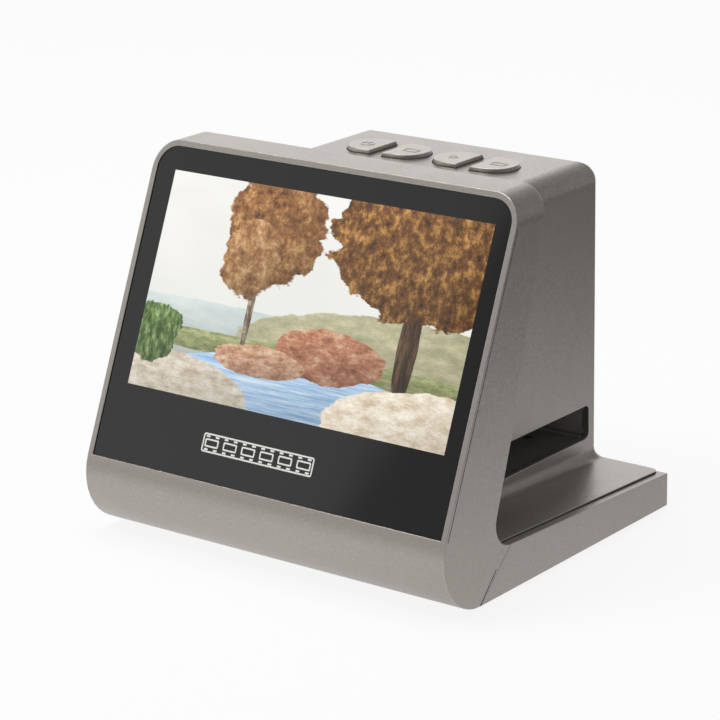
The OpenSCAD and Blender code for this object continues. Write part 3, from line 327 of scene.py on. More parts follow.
# A made-up lakeside in autumn, from back to front. Each mass is an ellipse with a ragged edge:
# its middle and half sizes as shares of the picture, the depth and softness of its edge,
# how often its pattern repeats across and up the picture, and its colours from dark to light.
LAKESIDE = [
    ("far hills", (0.22, 0.30), (0.62, 0.14), 0.20, 0.012, (5, 9),
     ("#BFCBCB", "#CDD6D3", "#DDE3DE")),
    ("near hills", (0.86, 0.30), (0.56, 0.22), 0.24, 0.012, (10, 14),
     ("#94987A", "#B2AE8C", "#D0C8A8")),
    ("far shore", (0.45, 0.26), (0.80, 0.05), 0.30, 0.02, (22, 40),
     ("#6F7A4E", "#99A06E", "#C9C594")),
    ("lake", (0.52, 0.08), (0.46, 0.17), 0.12, 0.012, (4, 60),
     ("#7399C4", "#A6C5E2", "#E1ECF4")),
    ("birch trunk", (0.335, 0.47), (0.011, 0.24), 0.20, 0.03, (60, 12),
     ("#3B2C20", "#8E7B68", "#E6DCCB")),
    ("birch crown", (0.36, 0.82), (0.15, 0.27), 0.80, 0.02, (26, 16),
     ("#4A2E1A", "#A36F40", "#E6B87C")),
    ("birch boughs", (0.30, 0.66), (0.09, 0.18), 0.90, 0.03, (30, 17),
     ("#5F3F25", "#B07F50", "#EBC593")),
    ("wood trunks", (0.83, 0.40), (0.03, 0.26), 0.30, 0.05, (70, 6),
     ("#1E1812", "#4B3826", "#7C6044")),
    ("wood", (0.84, 0.84), (0.30, 0.34), 0.75, 0.015, (34, 16),
     ("#2B2116", "#7D5126", "#DDA65C")),
    ("sandstone", (0.60, 0.30), (0.17, 0.12), 0.60, 0.012, (18, 22),
     ("#74432F", "#BC8161", "#EBC8AA")),
    ("sandstone step", (0.40, 0.22), (0.15, 0.07), 0.60, 0.012, (20, 26),
     ("#85553F", "#C99A7B", "#EED5BD")),
    ("sand", (0.98, 0.02), (0.36, 0.22), 0.24, 0.012, (18, 24),
     ("#BDAA8E", "#DED2BD", "#F4EEE2")),
    ("near shore", (0.04, 0.02), (0.34, 0.18), 0.26, 0.012, (18, 24),
     ("#B2A38B", "#D7CCBA", "#F0EAE0")),
    ("reeds", (0.05, 0.26), (0.08, 0.14), 1.10, 0.02, (70, 16),
     ("#22331B", "#5A773D", "#AEC383")),
]
COLOUR_STOPS = (0.36, 0.5, 0.64)     # where a pattern takes its dark, middle and light colour
SUNWARD = (-0.5, 0.85, 0)            # the sun stands at the upper left
SHADY_SIDE, SUNNY_SIDE = 0.6, 1.2    # how much of its colour a mass shows on either side


def lit_picture(corner, right, up, width, height, level):
    """The display's picture: light from the cell under a polished front, seen through the clear
    window."""
    made, tree = material("lit_display_film")
    place = add(tree, "ShaderNodeTexCoord").outputs["Object"]
    offset = add(tree, "ShaderNodeVectorMath", {0: place, 1: corner}, operation="SUBTRACT")
    across = add(tree, "ShaderNodeVectorMath", {0: offset, 1: right / width},
                 operation="DOT_PRODUCT")
    upward = add(tree, "ShaderNodeVectorMath", {0: offset, 1: up / height},
                 operation="DOT_PRODUCT")
    spot = add(tree, "ShaderNodeCombineXYZ", {
        "X": across.outputs["Value"], "Y": upward.outputs["Value"],
    })
    haze = add(tree, "ShaderNodeTexNoise", {"Vector": spot, "Scale": 2.4, "Detail": 3})
    sky = add(tree, "ShaderNodeMath", {0: haze.outputs["Fac"], 1: upward.outputs["Value"]},
              operation="MULTIPLY")
    painted = add(tree, "ShaderNodeValToRGB", {"Fac": sky}, stops=[
        (0.12, linear("#E9ECE8")), (0.3, linear("#F3F2EC")), (0.5, linear("#FBFAF6")),
    ])
    for name, middle, reach, ragged, soft, repeat, colours in LAKESIDE:
        seed = sum(map(ord, name)) / 10
        shifted = add(tree, "ShaderNodeVectorMath", {0: spot, 1: (*middle, 0)},
                      operation="SUBTRACT")
        scaled = add(tree, "ShaderNodeVectorMath", {
            0: shifted, 1: (1 / reach[0], 1 / reach[1], 1),
        }, operation="MULTIPLY")
        far = add(tree, "ShaderNodeVectorMath", {0: scaled}, operation="LENGTH")
        edge = add(tree, "ShaderNodeTexNoise", {
            "Vector": spot, "W": seed, "Scale": 11, "Detail": 9, "Roughness": 0.62,
        }, noise_dimensions="4D")
        lobes = add(tree, "ShaderNodeMath", {
            0: edge.outputs["Fac"], 1: ragged, 2: far.outputs["Value"],
        }, operation="MULTIPLY_ADD")
        rim = 1 + ragged / 2
        cover = add(tree, "ShaderNodeMapRange", {
            "Value": lobes, "From Min": rim + soft, "From Max": rim - soft,
        }, interpolation_type="SMOOTHSTEP")
        stretched = add(tree, "ShaderNodeVectorMath", {0: spot, 1: (*repeat, 1)},
                        operation="MULTIPLY")
        pattern = add(tree, "ShaderNodeTexNoise", {
            "Vector": stretched, "W": seed, "Scale": 1, "Detail": 8, "Roughness": 0.78,
        }, noise_dimensions="4D")
        body = add(tree, "ShaderNodeValToRGB", {"Fac": pattern.outputs["Fac"]}, stops=[
            (share, linear(colour)) for share, colour in zip(COLOUR_STOPS, colours)
        ])
        sunward = add(tree, "ShaderNodeVectorMath", {0: scaled, 1: SUNWARD},
                      operation="DOT_PRODUCT")
        sun = add(tree, "ShaderNodeMapRange", {
            "Value": sunward.outputs["Value"], "From Min": -1.0,
            "To Min": SHADY_SIDE, "To Max": SUNNY_SIDE,
        })
        sunlit = add(tree, "ShaderNodeVectorMath", {0: body.outputs["Color"], "Scale": sun},
                     operation="SCALE")
        painted = add(tree, "ShaderNodeMix", {"Factor": cover, "A": painted, "B": sunlit},
                      data_type="RGBA")
    surface(tree, {"Base Color": linear("#050505"), "Roughness": 0.08, "IOR": 1.49,
                   "Emission Color": painted, "Emission Strength": level})
    return made


# ---- Shapes ----

ARC_STEPS = 24
CORNER_STEPS = 5


def add_prism(mesh, outline, low, high):
    """Adds a closed slab with a straight-sided outline, from low to high along Z."""
    rings = [[mesh.verts.new((x, y, z)) for x, y in outline] for z in (low, high)]
    mesh.faces.new(reversed(rings[0]))
    mesh.faces.new(rings[1])
    count = len(outline)
    for i in range(count):
        j = (i + 1) % count
        mesh.faces.new((rings[0][i], rings[0][j], rings[1][j], rings[1][i]))


def add_band(mesh, outer, inner, low, high, closed=True):
    """Adds a closed strip between two outlines with as many points each, from low to high
    along Z."""
    rings = [[mesh.verts.new((x, y, z)) for x, y in line] for line, z in
             ((outer, low), (inner, low), (inner, high), (outer, high))]
    count = len(outer)
    for i in range(count if closed else count - 1):
        j = (i + 1) % count
        for a, b in zip(rings, rings[1:] + rings[:1]):
            mesh.faces.new((a[i], b[i], b[j], a[j]))
    if not closed:
        mesh.faces.new([ring[0] for ring in reversed(rings)])
        mesh.faces.new([ring[-1] for ring in rings])


def arc_points(middle, radius, start, end, steps=ARC_STEPS):
    """Points of an arc, its angles in degrees."""
    turns = [math.radians(start + (end - start) * i / steps) for i in range(steps + 1)]
    return [(middle[0] + radius * math.cos(t), middle[1] + radius * math.sin(t)) for t in turns]


def rounded_rectangle(middle, width, height, radius):
    """Points of a rectangle with round corners."""
    x, y = width / 2 - radius, height / 2 - radius
    corners = ((x, y, 0), (-x, y, 90), (-x, -y, 180), (x, -y, 270))
    return [point for a, b, start in corners
            for point in arc_points((middle[0] + a, middle[1] + b), radius, start, start + 90,
                                    CORNER_STEPS)]


def finished_piece(name, mesh, place, finish, body):
    """Turns a bmesh into an object of the scene, placed in the row frame, that rides on a body."""
    mesh.transform(place)
    bmesh.ops.recalc_face_normals(mesh, faces=mesh.faces)
    data = bpy.data.meshes.new(name)
    mesh.to_mesh(data)
    mesh.free()
    data.materials.append(finish)
    piece = bpy.data.objects.new(name, data)
    bpy.context.scene.collection.objects.link(piece)
    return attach(piece, body)


JOIN_GAP = 0.002 * MM              # facets whose corners are nearer than this are joined
EDGE_ANGLE = math.radians(38)      # a corner sharper than this is rounded
CREASE_ANGLE = math.radians(35)    # a bend gentler than this is shaded as a curve
ROUND_STEPS = 3


def even_shading(limit):
    """A node group that shades a mesh as one curved skin, creased only at edges above an angle."""
    group = bpy.data.node_groups.new("even_shading", "GeometryNodeTree")
    for way in ("INPUT", "OUTPUT"):
        group.interface.new_socket("Geometry", in_out=way, socket_type="NodeSocketGeometry")
    bare = add(group, "GeometryNodeRemoveAttribute", {
        "Geometry": add(group, "NodeGroupInput"), "Name": "custom_normal",
    })
    skin = add(group, "GeometryNodeSetShadeSmooth", {"Geometry": bare})
    bend = add(group, "GeometryNodeInputMeshEdgeAngle").outputs["Unsigned Angle"]
    gentle = add(group, "ShaderNodeMath", {0: bend, 1: limit}, operation="LESS_THAN")
    creased = add(group, "GeometryNodeSetShadeSmooth", {"Geometry": skin, "Shade Smooth": gentle},
                  domain="EDGE")
    add(group, "NodeGroupOutput", {"Geometry": creased})
    return group


def round_edges(radius, *names):
    """Rounds the moulded edges of CAD nodes and shades their curves evenly, by modifiers that leave
    their meshes as they are."""
    shading = even_shading(CREASE_ANGLE)
    for name in names:
        weld = NODES[name].modifiers.new("join_facets", "WELD")
        weld.merge_threshold = JOIN_GAP
        bevel = NODES[name].modifiers.new("moulded_edges", "BEVEL")
        bevel.width = radius
        bevel.segments = ROUND_STEPS
        bevel.limit_method = "ANGLE"
        bevel.angle_limit = EDGE_ANGLE
        bevel.use_clamp_overlap = True
        NODES[name].modifiers.new("even_shading", "NODES").node_group = shading
        weighted = NODES[name].modifiers.new("flat_faces_flat", "WEIGHTED_NORMAL")
        weighted.mode = "FACE_AREA_WITH_ANGLE"
        weighted.keep_sharp = True


def coat(finish, *names):
    """Gives CAD nodes a finish."""
    for name in names:
        for slot in NODES[name].material_slots:
            slot.material = finish


def face_axes():
    """Right, up the slope and out of the display's face, from the window's own front."""
    out = Vector()
    for face in NODES["display_window"].data.polygons:
        faces_front, leans_up = face.normal.y < -0.5, face.normal.z > 0.1
        if faces_front and leans_up:
            out += face.normal * face.area
    if not out.length:
        raise RuntimeError("display_window has no sloping front")
    out.normalize()
    right = Vector((1, 0, 0))
    return right, out.cross(right), out


def face_extent(name):
    """Lowest and highest corner of a node along the face's three axes."""
    axes = face_axes()
    reach = [[point.co.dot(axis) for point in NODES[name].data.vertices] for axis in axes]
    return Vector(map(min, reach)), Vector(map(max, reach))


def face_place(across, up, out):
    """The matrix that puts a shape drawn in X and Y on the display's face."""
    axes = face_axes()
    turn = Matrix(axes).transposed().to_4x4()
    return Matrix.Translation(axes[0] * across + axes[1] * up + axes[2] * out) @ turn


# ---- Settings ----

class HousingSettings(bpy.types.PropertyGroup):
    colour: FloatVectorProperty(
        name="Lacquer", description="Colour of the sprayed housing",
        default=linear("#ADA7A1"), subtype="COLOR")
    key_colour: FloatVectorProperty(
        name="Key lacquer", description="Colour of the key caps",
        default=linear("#B3AEA7"), subtype="COLOR")
    roughness: FloatProperty(
        name="Roughness", description="Roughness of the lacquer",
        default=0.36, min=0.1, max=1, subtype="FACTOR")
    flake: FloatProperty(
        name="Flake", description="Size at which the lacquer's flakes are drawn",
        default=0.32 * MM, unit="LENGTH")
    round: FloatProperty(
        name="Moulded edge", description="Radius of the mouldings' rounded edges",
        default=0.12 * MM, unit="LENGTH")
    edge: FloatProperty(
        name="Edge radius", description="Radius to which the coat rounds the moulded edges",
        default=0.35 * MM, unit="LENGTH")


class DisplaySettings(bpy.types.PropertyGroup):
    border: FloatProperty(
        name="Cell border", description="Dark border of the display cell round the picture",
        default=3.6 * MM, unit="LENGTH")
    level: FloatProperty(
        name="Brightness", description="Strength of the lit picture",
        default=0.95, min=0, max=4)
    film: FloatProperty(
        name="Film", description="Thickness of the picture's film and of printed ink",
        default=0.03 * MM, unit="LENGTH")
    mark_width: FloatProperty(
        name="Mark width", description="Width of the printed strip of film",
        default=39 * MM, unit="LENGTH")
    mark_height: FloatProperty(
        name="Mark height", description="Height of the printed strip of film",
        default=5.4 * MM, unit="LENGTH")
    mark_offset: FloatProperty(
        name="Mark offset", description="Mark's middle from the middle plane",
        default=-4 * MM, unit="LENGTH")
    mark_rise: FloatProperty(
        name="Mark rise", description="Mark's middle above the window's lower edge",
        default=10.8 * MM, unit="LENGTH")


class KeySettings(bpy.types.PropertyGroup):
    round: FloatProperty(
        name="Cap edge", description="Radius of the caps' rounded edges",
        default=0.25 * MM, unit="LENGTH")
    relief: FloatProperty(
        name="Relief", description="Height of the symbols on the keys",
        default=0.08 * MM, unit="LENGTH")
    symbol: FloatProperty(
        name="Symbol", description="Width of a symbol",
        default=5 * MM, unit="LENGTH")
    stroke: FloatProperty(
        name="Stroke", description="Width of a symbol's lines",
        default=0.45 * MM, unit="LENGTH")


class StageSettings(bpy.types.PropertyGroup):
    floor_side: FloatProperty(
        name="Floor", description="Side of the floor",
        default=12, unit="LENGTH")
    azimuth: FloatProperty(
        name="Azimuth", description="Camera's turn from straight in front to the right",
        default=math.radians(37.5), subtype="ANGLE")
    elevation: FloatProperty(
        name="Elevation", description="Camera's height angle",
        default=math.radians(17.44), subtype="ANGLE")
    roll: FloatProperty(
        name="Roll", description="Camera's roll",
        default=math.radians(-1.05), subtype="ANGLE")
    distance: FloatProperty(
        name="Distance", description="Camera's distance from its target",
        default=0.82423, unit="LENGTH")
    lens: FloatProperty(
        name="Lens", description="Focal length on a 36 mm sensor",
        default=147.1, unit="CAMERA")
    target: FloatVectorProperty(
        name="Target", description="Point that the camera looks at",
        default=(0.00474, -0.0142, 0.05336), subtype="XYZ", unit="LENGTH")
    top_light: FloatProperty(
        name="Overhead softbox", description="Power of the overhead softbox",
        default=6, unit="POWER")
    front_light: FloatProperty(
        name="Front softbox", description="Power of the softbox at the front left",
        default=8, unit="POWER")
    rear_light: FloatProperty(
        name="Rear softbox", description="Power of the low softbox at the back left",
        default=1.2, unit="POWER")
    low_light: FloatProperty(
        name="Low softbox", description="Power of the low softbox at the front left",
        default=0.6, unit="POWER")


# ---- Operators ----

class ScannerOperator:
    """What the operators share."""
    bl_options = {"REGISTER", "UNDO"}


class SCANNER_OT_housing(ScannerOperator, bpy.types.Operator):
    """Sprays the front shell, rear cover and base pan, and finishes the feet and screws"""
    bl_idname = "scanner.housing"
    bl_label = "Housing"

    def execute(self, context):
        own = context.scene.scanner_housing
        shells = ("front_shell", "rear_cover", "base_pan")
        coat(lacquer("sprayed_metallic_lacquer", list(own.colour), own.roughness, own.flake,
                     own.edge), *shells)
        round_edges(own.round, *shells)
        coat(rubber(), "rubber_feet")
        coat(metal("black_zinc_steel", linear("#3A3A3D"), roughness=0.35, stroke=0.4 * MM),
             "case_screws", "carrier_screws", "button_board_screws", "main_board_screws",
             "guide_screws", "shroud_screws", "sensor_screws")
        return {"FINISHED"}


# The printed strip of film. Shares across are of the pitch of its frames, shares up of its height.
STRIP_FRAMES = 6
STRIP_LINES = 12              # line widths that would fill its height
FRAME_SHARE = (0.74, 0.44)
HOLE_SHARE = (0.2, 0.1)
HOLE_STEPS = (-0.25, 0.25)    # a frame's perforations, from its middle
HOLE_ROW = 0.345              # their two rows, from the strip's middle
STRIP_CORNER, FRAME_CORNER, HOLE_CORNER = 0.7 * MM, 0.4 * MM, 0.1 * MM


class SCANNER_OT_display(ScannerOperator, bpy.types.Operator):
    """Finishes the window and the display module, and makes the window's printed mark and the lit
    picture
    """
    bl_idname = "scanner.display"
    bl_label = "Display"

    def execute(self, context):
        own = context.scene.scanner_display
        coat(cast_acrylic(), "display_window")
        coat(moulded("closed_cell_foam", linear("#161616"), roughness=0.85,
                     texture=0.2 * MM, depth=0.05 * MM), "window_tape")
        coat(moulded("polarised_glass", linear("#1C1E22"), roughness=0.15,
                     texture=0.5 * MM, depth=0.002 * MM), "lcd_cell")
        coat(moulded("white_polycarbonate", linear("#D9DADB"), roughness=0.4,
                     texture=0.2 * MM, depth=0.01 * MM), "lcd_backlight")
        coat(metal("zinc_plated_sheet", linear("#B4B6B9"), roughness=0.3, stroke=0.8 * MM),
             "lcd_carrier")
        self.make_picture(own)
        self.make_mark(own)
        return {"FINISHED"}

    def make_picture(self, own):
        """The lit picture, as a film on the window over the display cell's active area."""
        low, high = face_extent("lcd_cell")
        front = face_extent("display_window")[1].z
        width, height = (high - low).x - 2 * own.border, (high - low).y - 2 * own.border
        middle = (low + high) / 2
        right, up, out = face_axes()
        corner = right * (middle.x - width / 2) + up * (middle.y - height / 2) + out * front
        film = bmesh.new()
        x, y = width / 2, height / 2
        add_prism(film, [(-x, -y), (x, -y), (x, y), (-x, y)], 0, own.film)
        finished_piece("display_picture", film, face_place(middle.x, middle.y, front),
                       lit_picture(corner, right, up, width, height, own.level),
                       "scanner")

    def make_mark(self, own):
        """A printed strip of film: two rows of perforations and a row of frames, as raised ink."""
        low, high = face_extent("display_window")
        ink = bmesh.new()
        width, height = own.mark_width, own.mark_height
        line = height / STRIP_LINES
        pitch = width / STRIP_FRAMES
        self.print_frame(ink, (0, 0), (width, height), line, STRIP_CORNER, STRIP_CORNER - line,
                         own.film)
        for i in range(STRIP_FRAMES):
            middle = (i + 0.5 - STRIP_FRAMES / 2) * pitch
            self.print_frame(ink, (middle, 0), (pitch * FRAME_SHARE[0], height * FRAME_SHARE[1]),
                             line, FRAME_CORNER, FRAME_CORNER - line / 2, own.film)
            for side in (-1, 1):
                for step in HOLE_STEPS:
                    hole = (middle + step * pitch, side * height * HOLE_ROW)
                    outline = rounded_rectangle(hole, pitch * HOLE_SHARE[0],
                                                height * HOLE_SHARE[1], HOLE_CORNER)
                    add_prism(ink, outline, 0, own.film)
        finished_piece("window_mark", ink,
                       face_place(own.mark_offset, low.y + own.mark_rise, high.z),
                       printed_white(), "scanner")

    def print_frame(self, ink, middle, size, line, outer_corner, inner_corner, thickness):
        """A printed line round a rectangle with round corners."""
        outer = rounded_rectangle(middle, *size, outer_corner)
        inner = rounded_rectangle(middle, *(side - 2 * line for side in size), inner_corner)
        add_band(ink, outer, inner, 0, thickness)


KEY_POLISH = 0.04      # how much smoother handling has made the key caps than the housing
OPENING = (125, 415)   # degrees at which the power ring starts and ends
FRAME_HEIGHT = 0.62    # a picture frame's height against its width


class SCANNER_OT_keys(ScannerOperator, bpy.types.Operator):
    """Sprays the key caps, raises the symbols on them, and finishes plungers and switches"""
    bl_idname = "scanner.keys"
    bl_label = "Keys"

    def execute(self, context):
        own = context.scene.scanner_keys
        housing = context.scene.scanner_housing
        finish = lacquer("sprayed_key_lacquer", list(housing.key_colour),
                         housing.roughness - KEY_POLISH, housing.flake, housing.edge)
        coat(finish, *[f"{key}_button" for key in KEYS])
        round_edges(own.round, *[f"{key}_button" for key in KEYS])
        coat(moulded("black_acetal", linear("#1B1B1B"), roughness=0.45,
                     texture=0.3 * MM, depth=0.01 * MM), *[f"{key}_plunger" for key in KEYS])
        coat(metal("tinned_steel_cans", linear("#C9CACB"), roughness=0.28, stroke=0.5 * MM),
             "switch_bodies")
        for key, draw in zip(KEYS, (self.power, self.capture, self.confirm, self.gallery)):
            low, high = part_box(f"{key}_button")
            symbol = bmesh.new()
            draw(symbol, own)
            # The flange stands out alike on all sides, so the box's middle is the cap's too
            place = Matrix.Translation(((low.x + high.x) / 2, (low.y + high.y) / 2, high.z))
            finished_piece(f"{key}_symbol", symbol, place, finish, f"{key}_key")
        return {"FINISHED"}

    def power(self, symbol, own):
        """A ring open at the top, with a bar in the opening."""
        r = own.symbol / 2 * 0.85
        add_band(symbol, arc_points((0, 0), r, *OPENING),
                 arc_points((0, 0), r - own.stroke, *OPENING), 0, own.relief, closed=False)
        bar_middle, bar_length, bar_end = r * 0.62, r * 1.1, own.stroke / 2.01
        bar = rounded_rectangle((0, bar_middle), own.stroke, bar_length, bar_end)
        add_prism(symbol, bar, 0, own.relief)

    def capture(self, symbol, own):
        """The outline of a frame."""
        w, h = own.symbol, own.symbol * FRAME_HEIGHT
        outer = rounded_rectangle((0, 0), w, h, own.stroke * 1.2)
        inner = rounded_rectangle((0, 0), w - 2 * own.stroke, h - 2 * own.stroke,
                                  own.stroke * 0.4)
        add_band(symbol, outer, inner, 0, own.relief)

    def confirm(self, symbol, own):
        """A small ring."""
        r = own.symbol * 0.3
        steps = ARC_STEPS - 1    # the band closes itself with the last one
        turn = (0, 360 * steps / ARC_STEPS, steps)
        add_band(symbol, arc_points((0, 0), r, *turn),
                 arc_points((0, 0), r - own.stroke, *turn), 0, own.relief)

    def gallery(self, symbol, own):
        """A frame with two peaks in it."""
        self.capture(symbol, own)
        w, h = own.symbol, own.symbol * FRAME_HEIGHT
        foot, gap = -h / 2 + own.stroke * 1.4, own.stroke * 0.4
        # Each peak's middle, width and height
        for middle, width, tall in ((-0.16 * w, 0.34 * w, 0.5 * h), (0.2 * w, 0.26 * w, 0.36 * h)):
            peak = [(middle - width / 2 + gap, foot), (middle + width / 2 - gap, foot),
                    (middle, foot + tall)]
            add_prism(symbol, peak, 0, own.relief)


class SCANNER_OT_tunnel(ScannerOperator, bpy.types.Operator):
    """Finishes the film tunnel, its detent and the lamp box under the film gate"""
    bl_idname = "scanner.tunnel"
    bl_label = "Film tunnel"

    def execute(self, context):
        # Painted light: these black parts are painted a mid grey, far paler than their black, to
        # stand in for light reaching into the slot
        coat(moulded("black_moulded_abs", linear("#85817F"), roughness=0.36,
                     texture=0.35 * MM, depth=0.02 * MM),
             "lower_guide", "upper_guide", "camera_shroud", "lens_holder", "detent_cap")
        coat(moulded("white_acetal", linear("#DAD9D2"), roughness=0.35,
                     texture=0.3 * MM, depth=0.01 * MM), "detent_plunger")
        self.wind_spring(metal("spring_steel_wire", linear("#A9ABAF"), roughness=0.25,
                               stroke=0.3 * MM))
        coat(moulded("opal_acrylic", linear("#F1F0EC"), roughness=0.3,
                     texture=0.4 * MM, depth=0.005 * MM), "diffuser")
        coat(moulded("white_moulded_abs", linear("#E8E7E2"), roughness=0.5,
                     texture=0.35 * MM, depth=0.02 * MM), "light_box")
        coat(moulded("yellow_phosphor_resin", linear("#F3DC8C"), roughness=0.3,
                     texture=0.2 * MM, depth=0.01 * MM), "lamps")
        return {"FINISHED"}

    def wind_spring(self, finish):
        """The detent's spring, which its cap holds from above, as a piece of its own that rides on
        the scanner."""
        coil = bmesh.new()
        coil.from_mesh(NODES["detent_spring"].data)
        piece = finished_piece("detent_coil", coil, Matrix.Identity(4), finish, "scanner")
        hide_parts("detent_spring")
        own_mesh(piece)


class SCANNER_OT_camera(ScannerOperator, bpy.types.Operator):
    """Finishes the camera over the film gate"""
    bl_idname = "scanner.camera"
    bl_label = "Camera"

    def execute(self, context):
        coat(metal("black_anodised_aluminium", linear("#1A1A1C"), roughness=0.4,
                   stroke=0.4 * MM), "lens_barrel")
        coat(optical_glass(), "lens_elements")
        coat(moulded("glass_lidded_ceramic", linear("#2A2A33"), roughness=0.2,
                     texture=0.4 * MM, depth=0.004 * MM), "image_sensor")
        return {"FINISHED"}


class SCANNER_OT_boards(ScannerOperator, bpy.types.Operator):
    """Finishes the circuit boards, their chips, sockets and ribbons"""
    bl_idname = "scanner.boards"
    bl_label = "Boards"

    def execute(self, context):
        coat(circuit_board("green_solder_mask", linear("#123D27"), linear("#2B6B42")),
             "main_board", "button_board", "lamp_board")
        coat(circuit_board("blue_solder_mask", linear("#0F2C4A"), linear("#2A5684")),
             "sensor_board")
        coat(moulded("moulded_epoxy", linear("#1F1F20"), roughness=0.55,
                     texture=0.15 * MM, depth=0.01 * MM), "main_board_chips")
        coat(metal("tinned_steel_shells", linear("#C6C6C3"), roughness=0.25, stroke=0.5 * MM),
             "card_socket", "usb_socket", "hdmi_socket")
        coat(flat_cable("polyimide_film", linear("#A8702A"), linear("#D39A4C"), step=0.5 * MM),
             "lcd_ribbon", "button_ribbon", "sensor_ribbon")
        coat(flat_cable("polyester_film", linear("#DDDDDB"), linear("#B9BDC2"), step=1 * MM),
             "lamp_ribbon")
        return {"FINISHED"}


# Each softbox's name, the setting that holds its power, its side and its place
SOFTBOXES = (
    ("overhead_softbox", "top_light", 0.8, (-0.1, 0.15, 1.25)),
    ("front_softbox", "front_light", 0.7, (-0.55, -0.55, 1.25)),
    ("rear_softbox", "rear_light", 0.9, (-0.75, 1.0, 0.55)),
    ("low_softbox", "low_light", 0.6, (-0.9, -0.8, 0.4)),
)
PAPER_GLOW = 0.87                 # share of plain white in what the lens sees of the paper
LIT_MIDDLE = (-0.08, -0.11, 0)    # middle of the painted pool of light that mirrors see on the paper
LIT_REACH = (0.09, 0.5)           # how far from there its white starts and ends fading
LIT_LEVELS = (1.0, 0.12)
# The walls' tone by the sine of the angle over the horizon: pale, then grey, and paler overhead
WALL_LEVELS = ((0.0, 1.0), (0.3, 0.95), (0.5, 0.2), (0.8, 0.08), (0.95, 0.6))
FRONT_DARK, RIGHT_DARK = 0.48, 0.25
SOFT_LIGHT = 0.65                 # share of the walls' tone that lights matt surfaces
MIRRORED_WHITE = 0.1              # share of plain white in what mirrors see of the walls


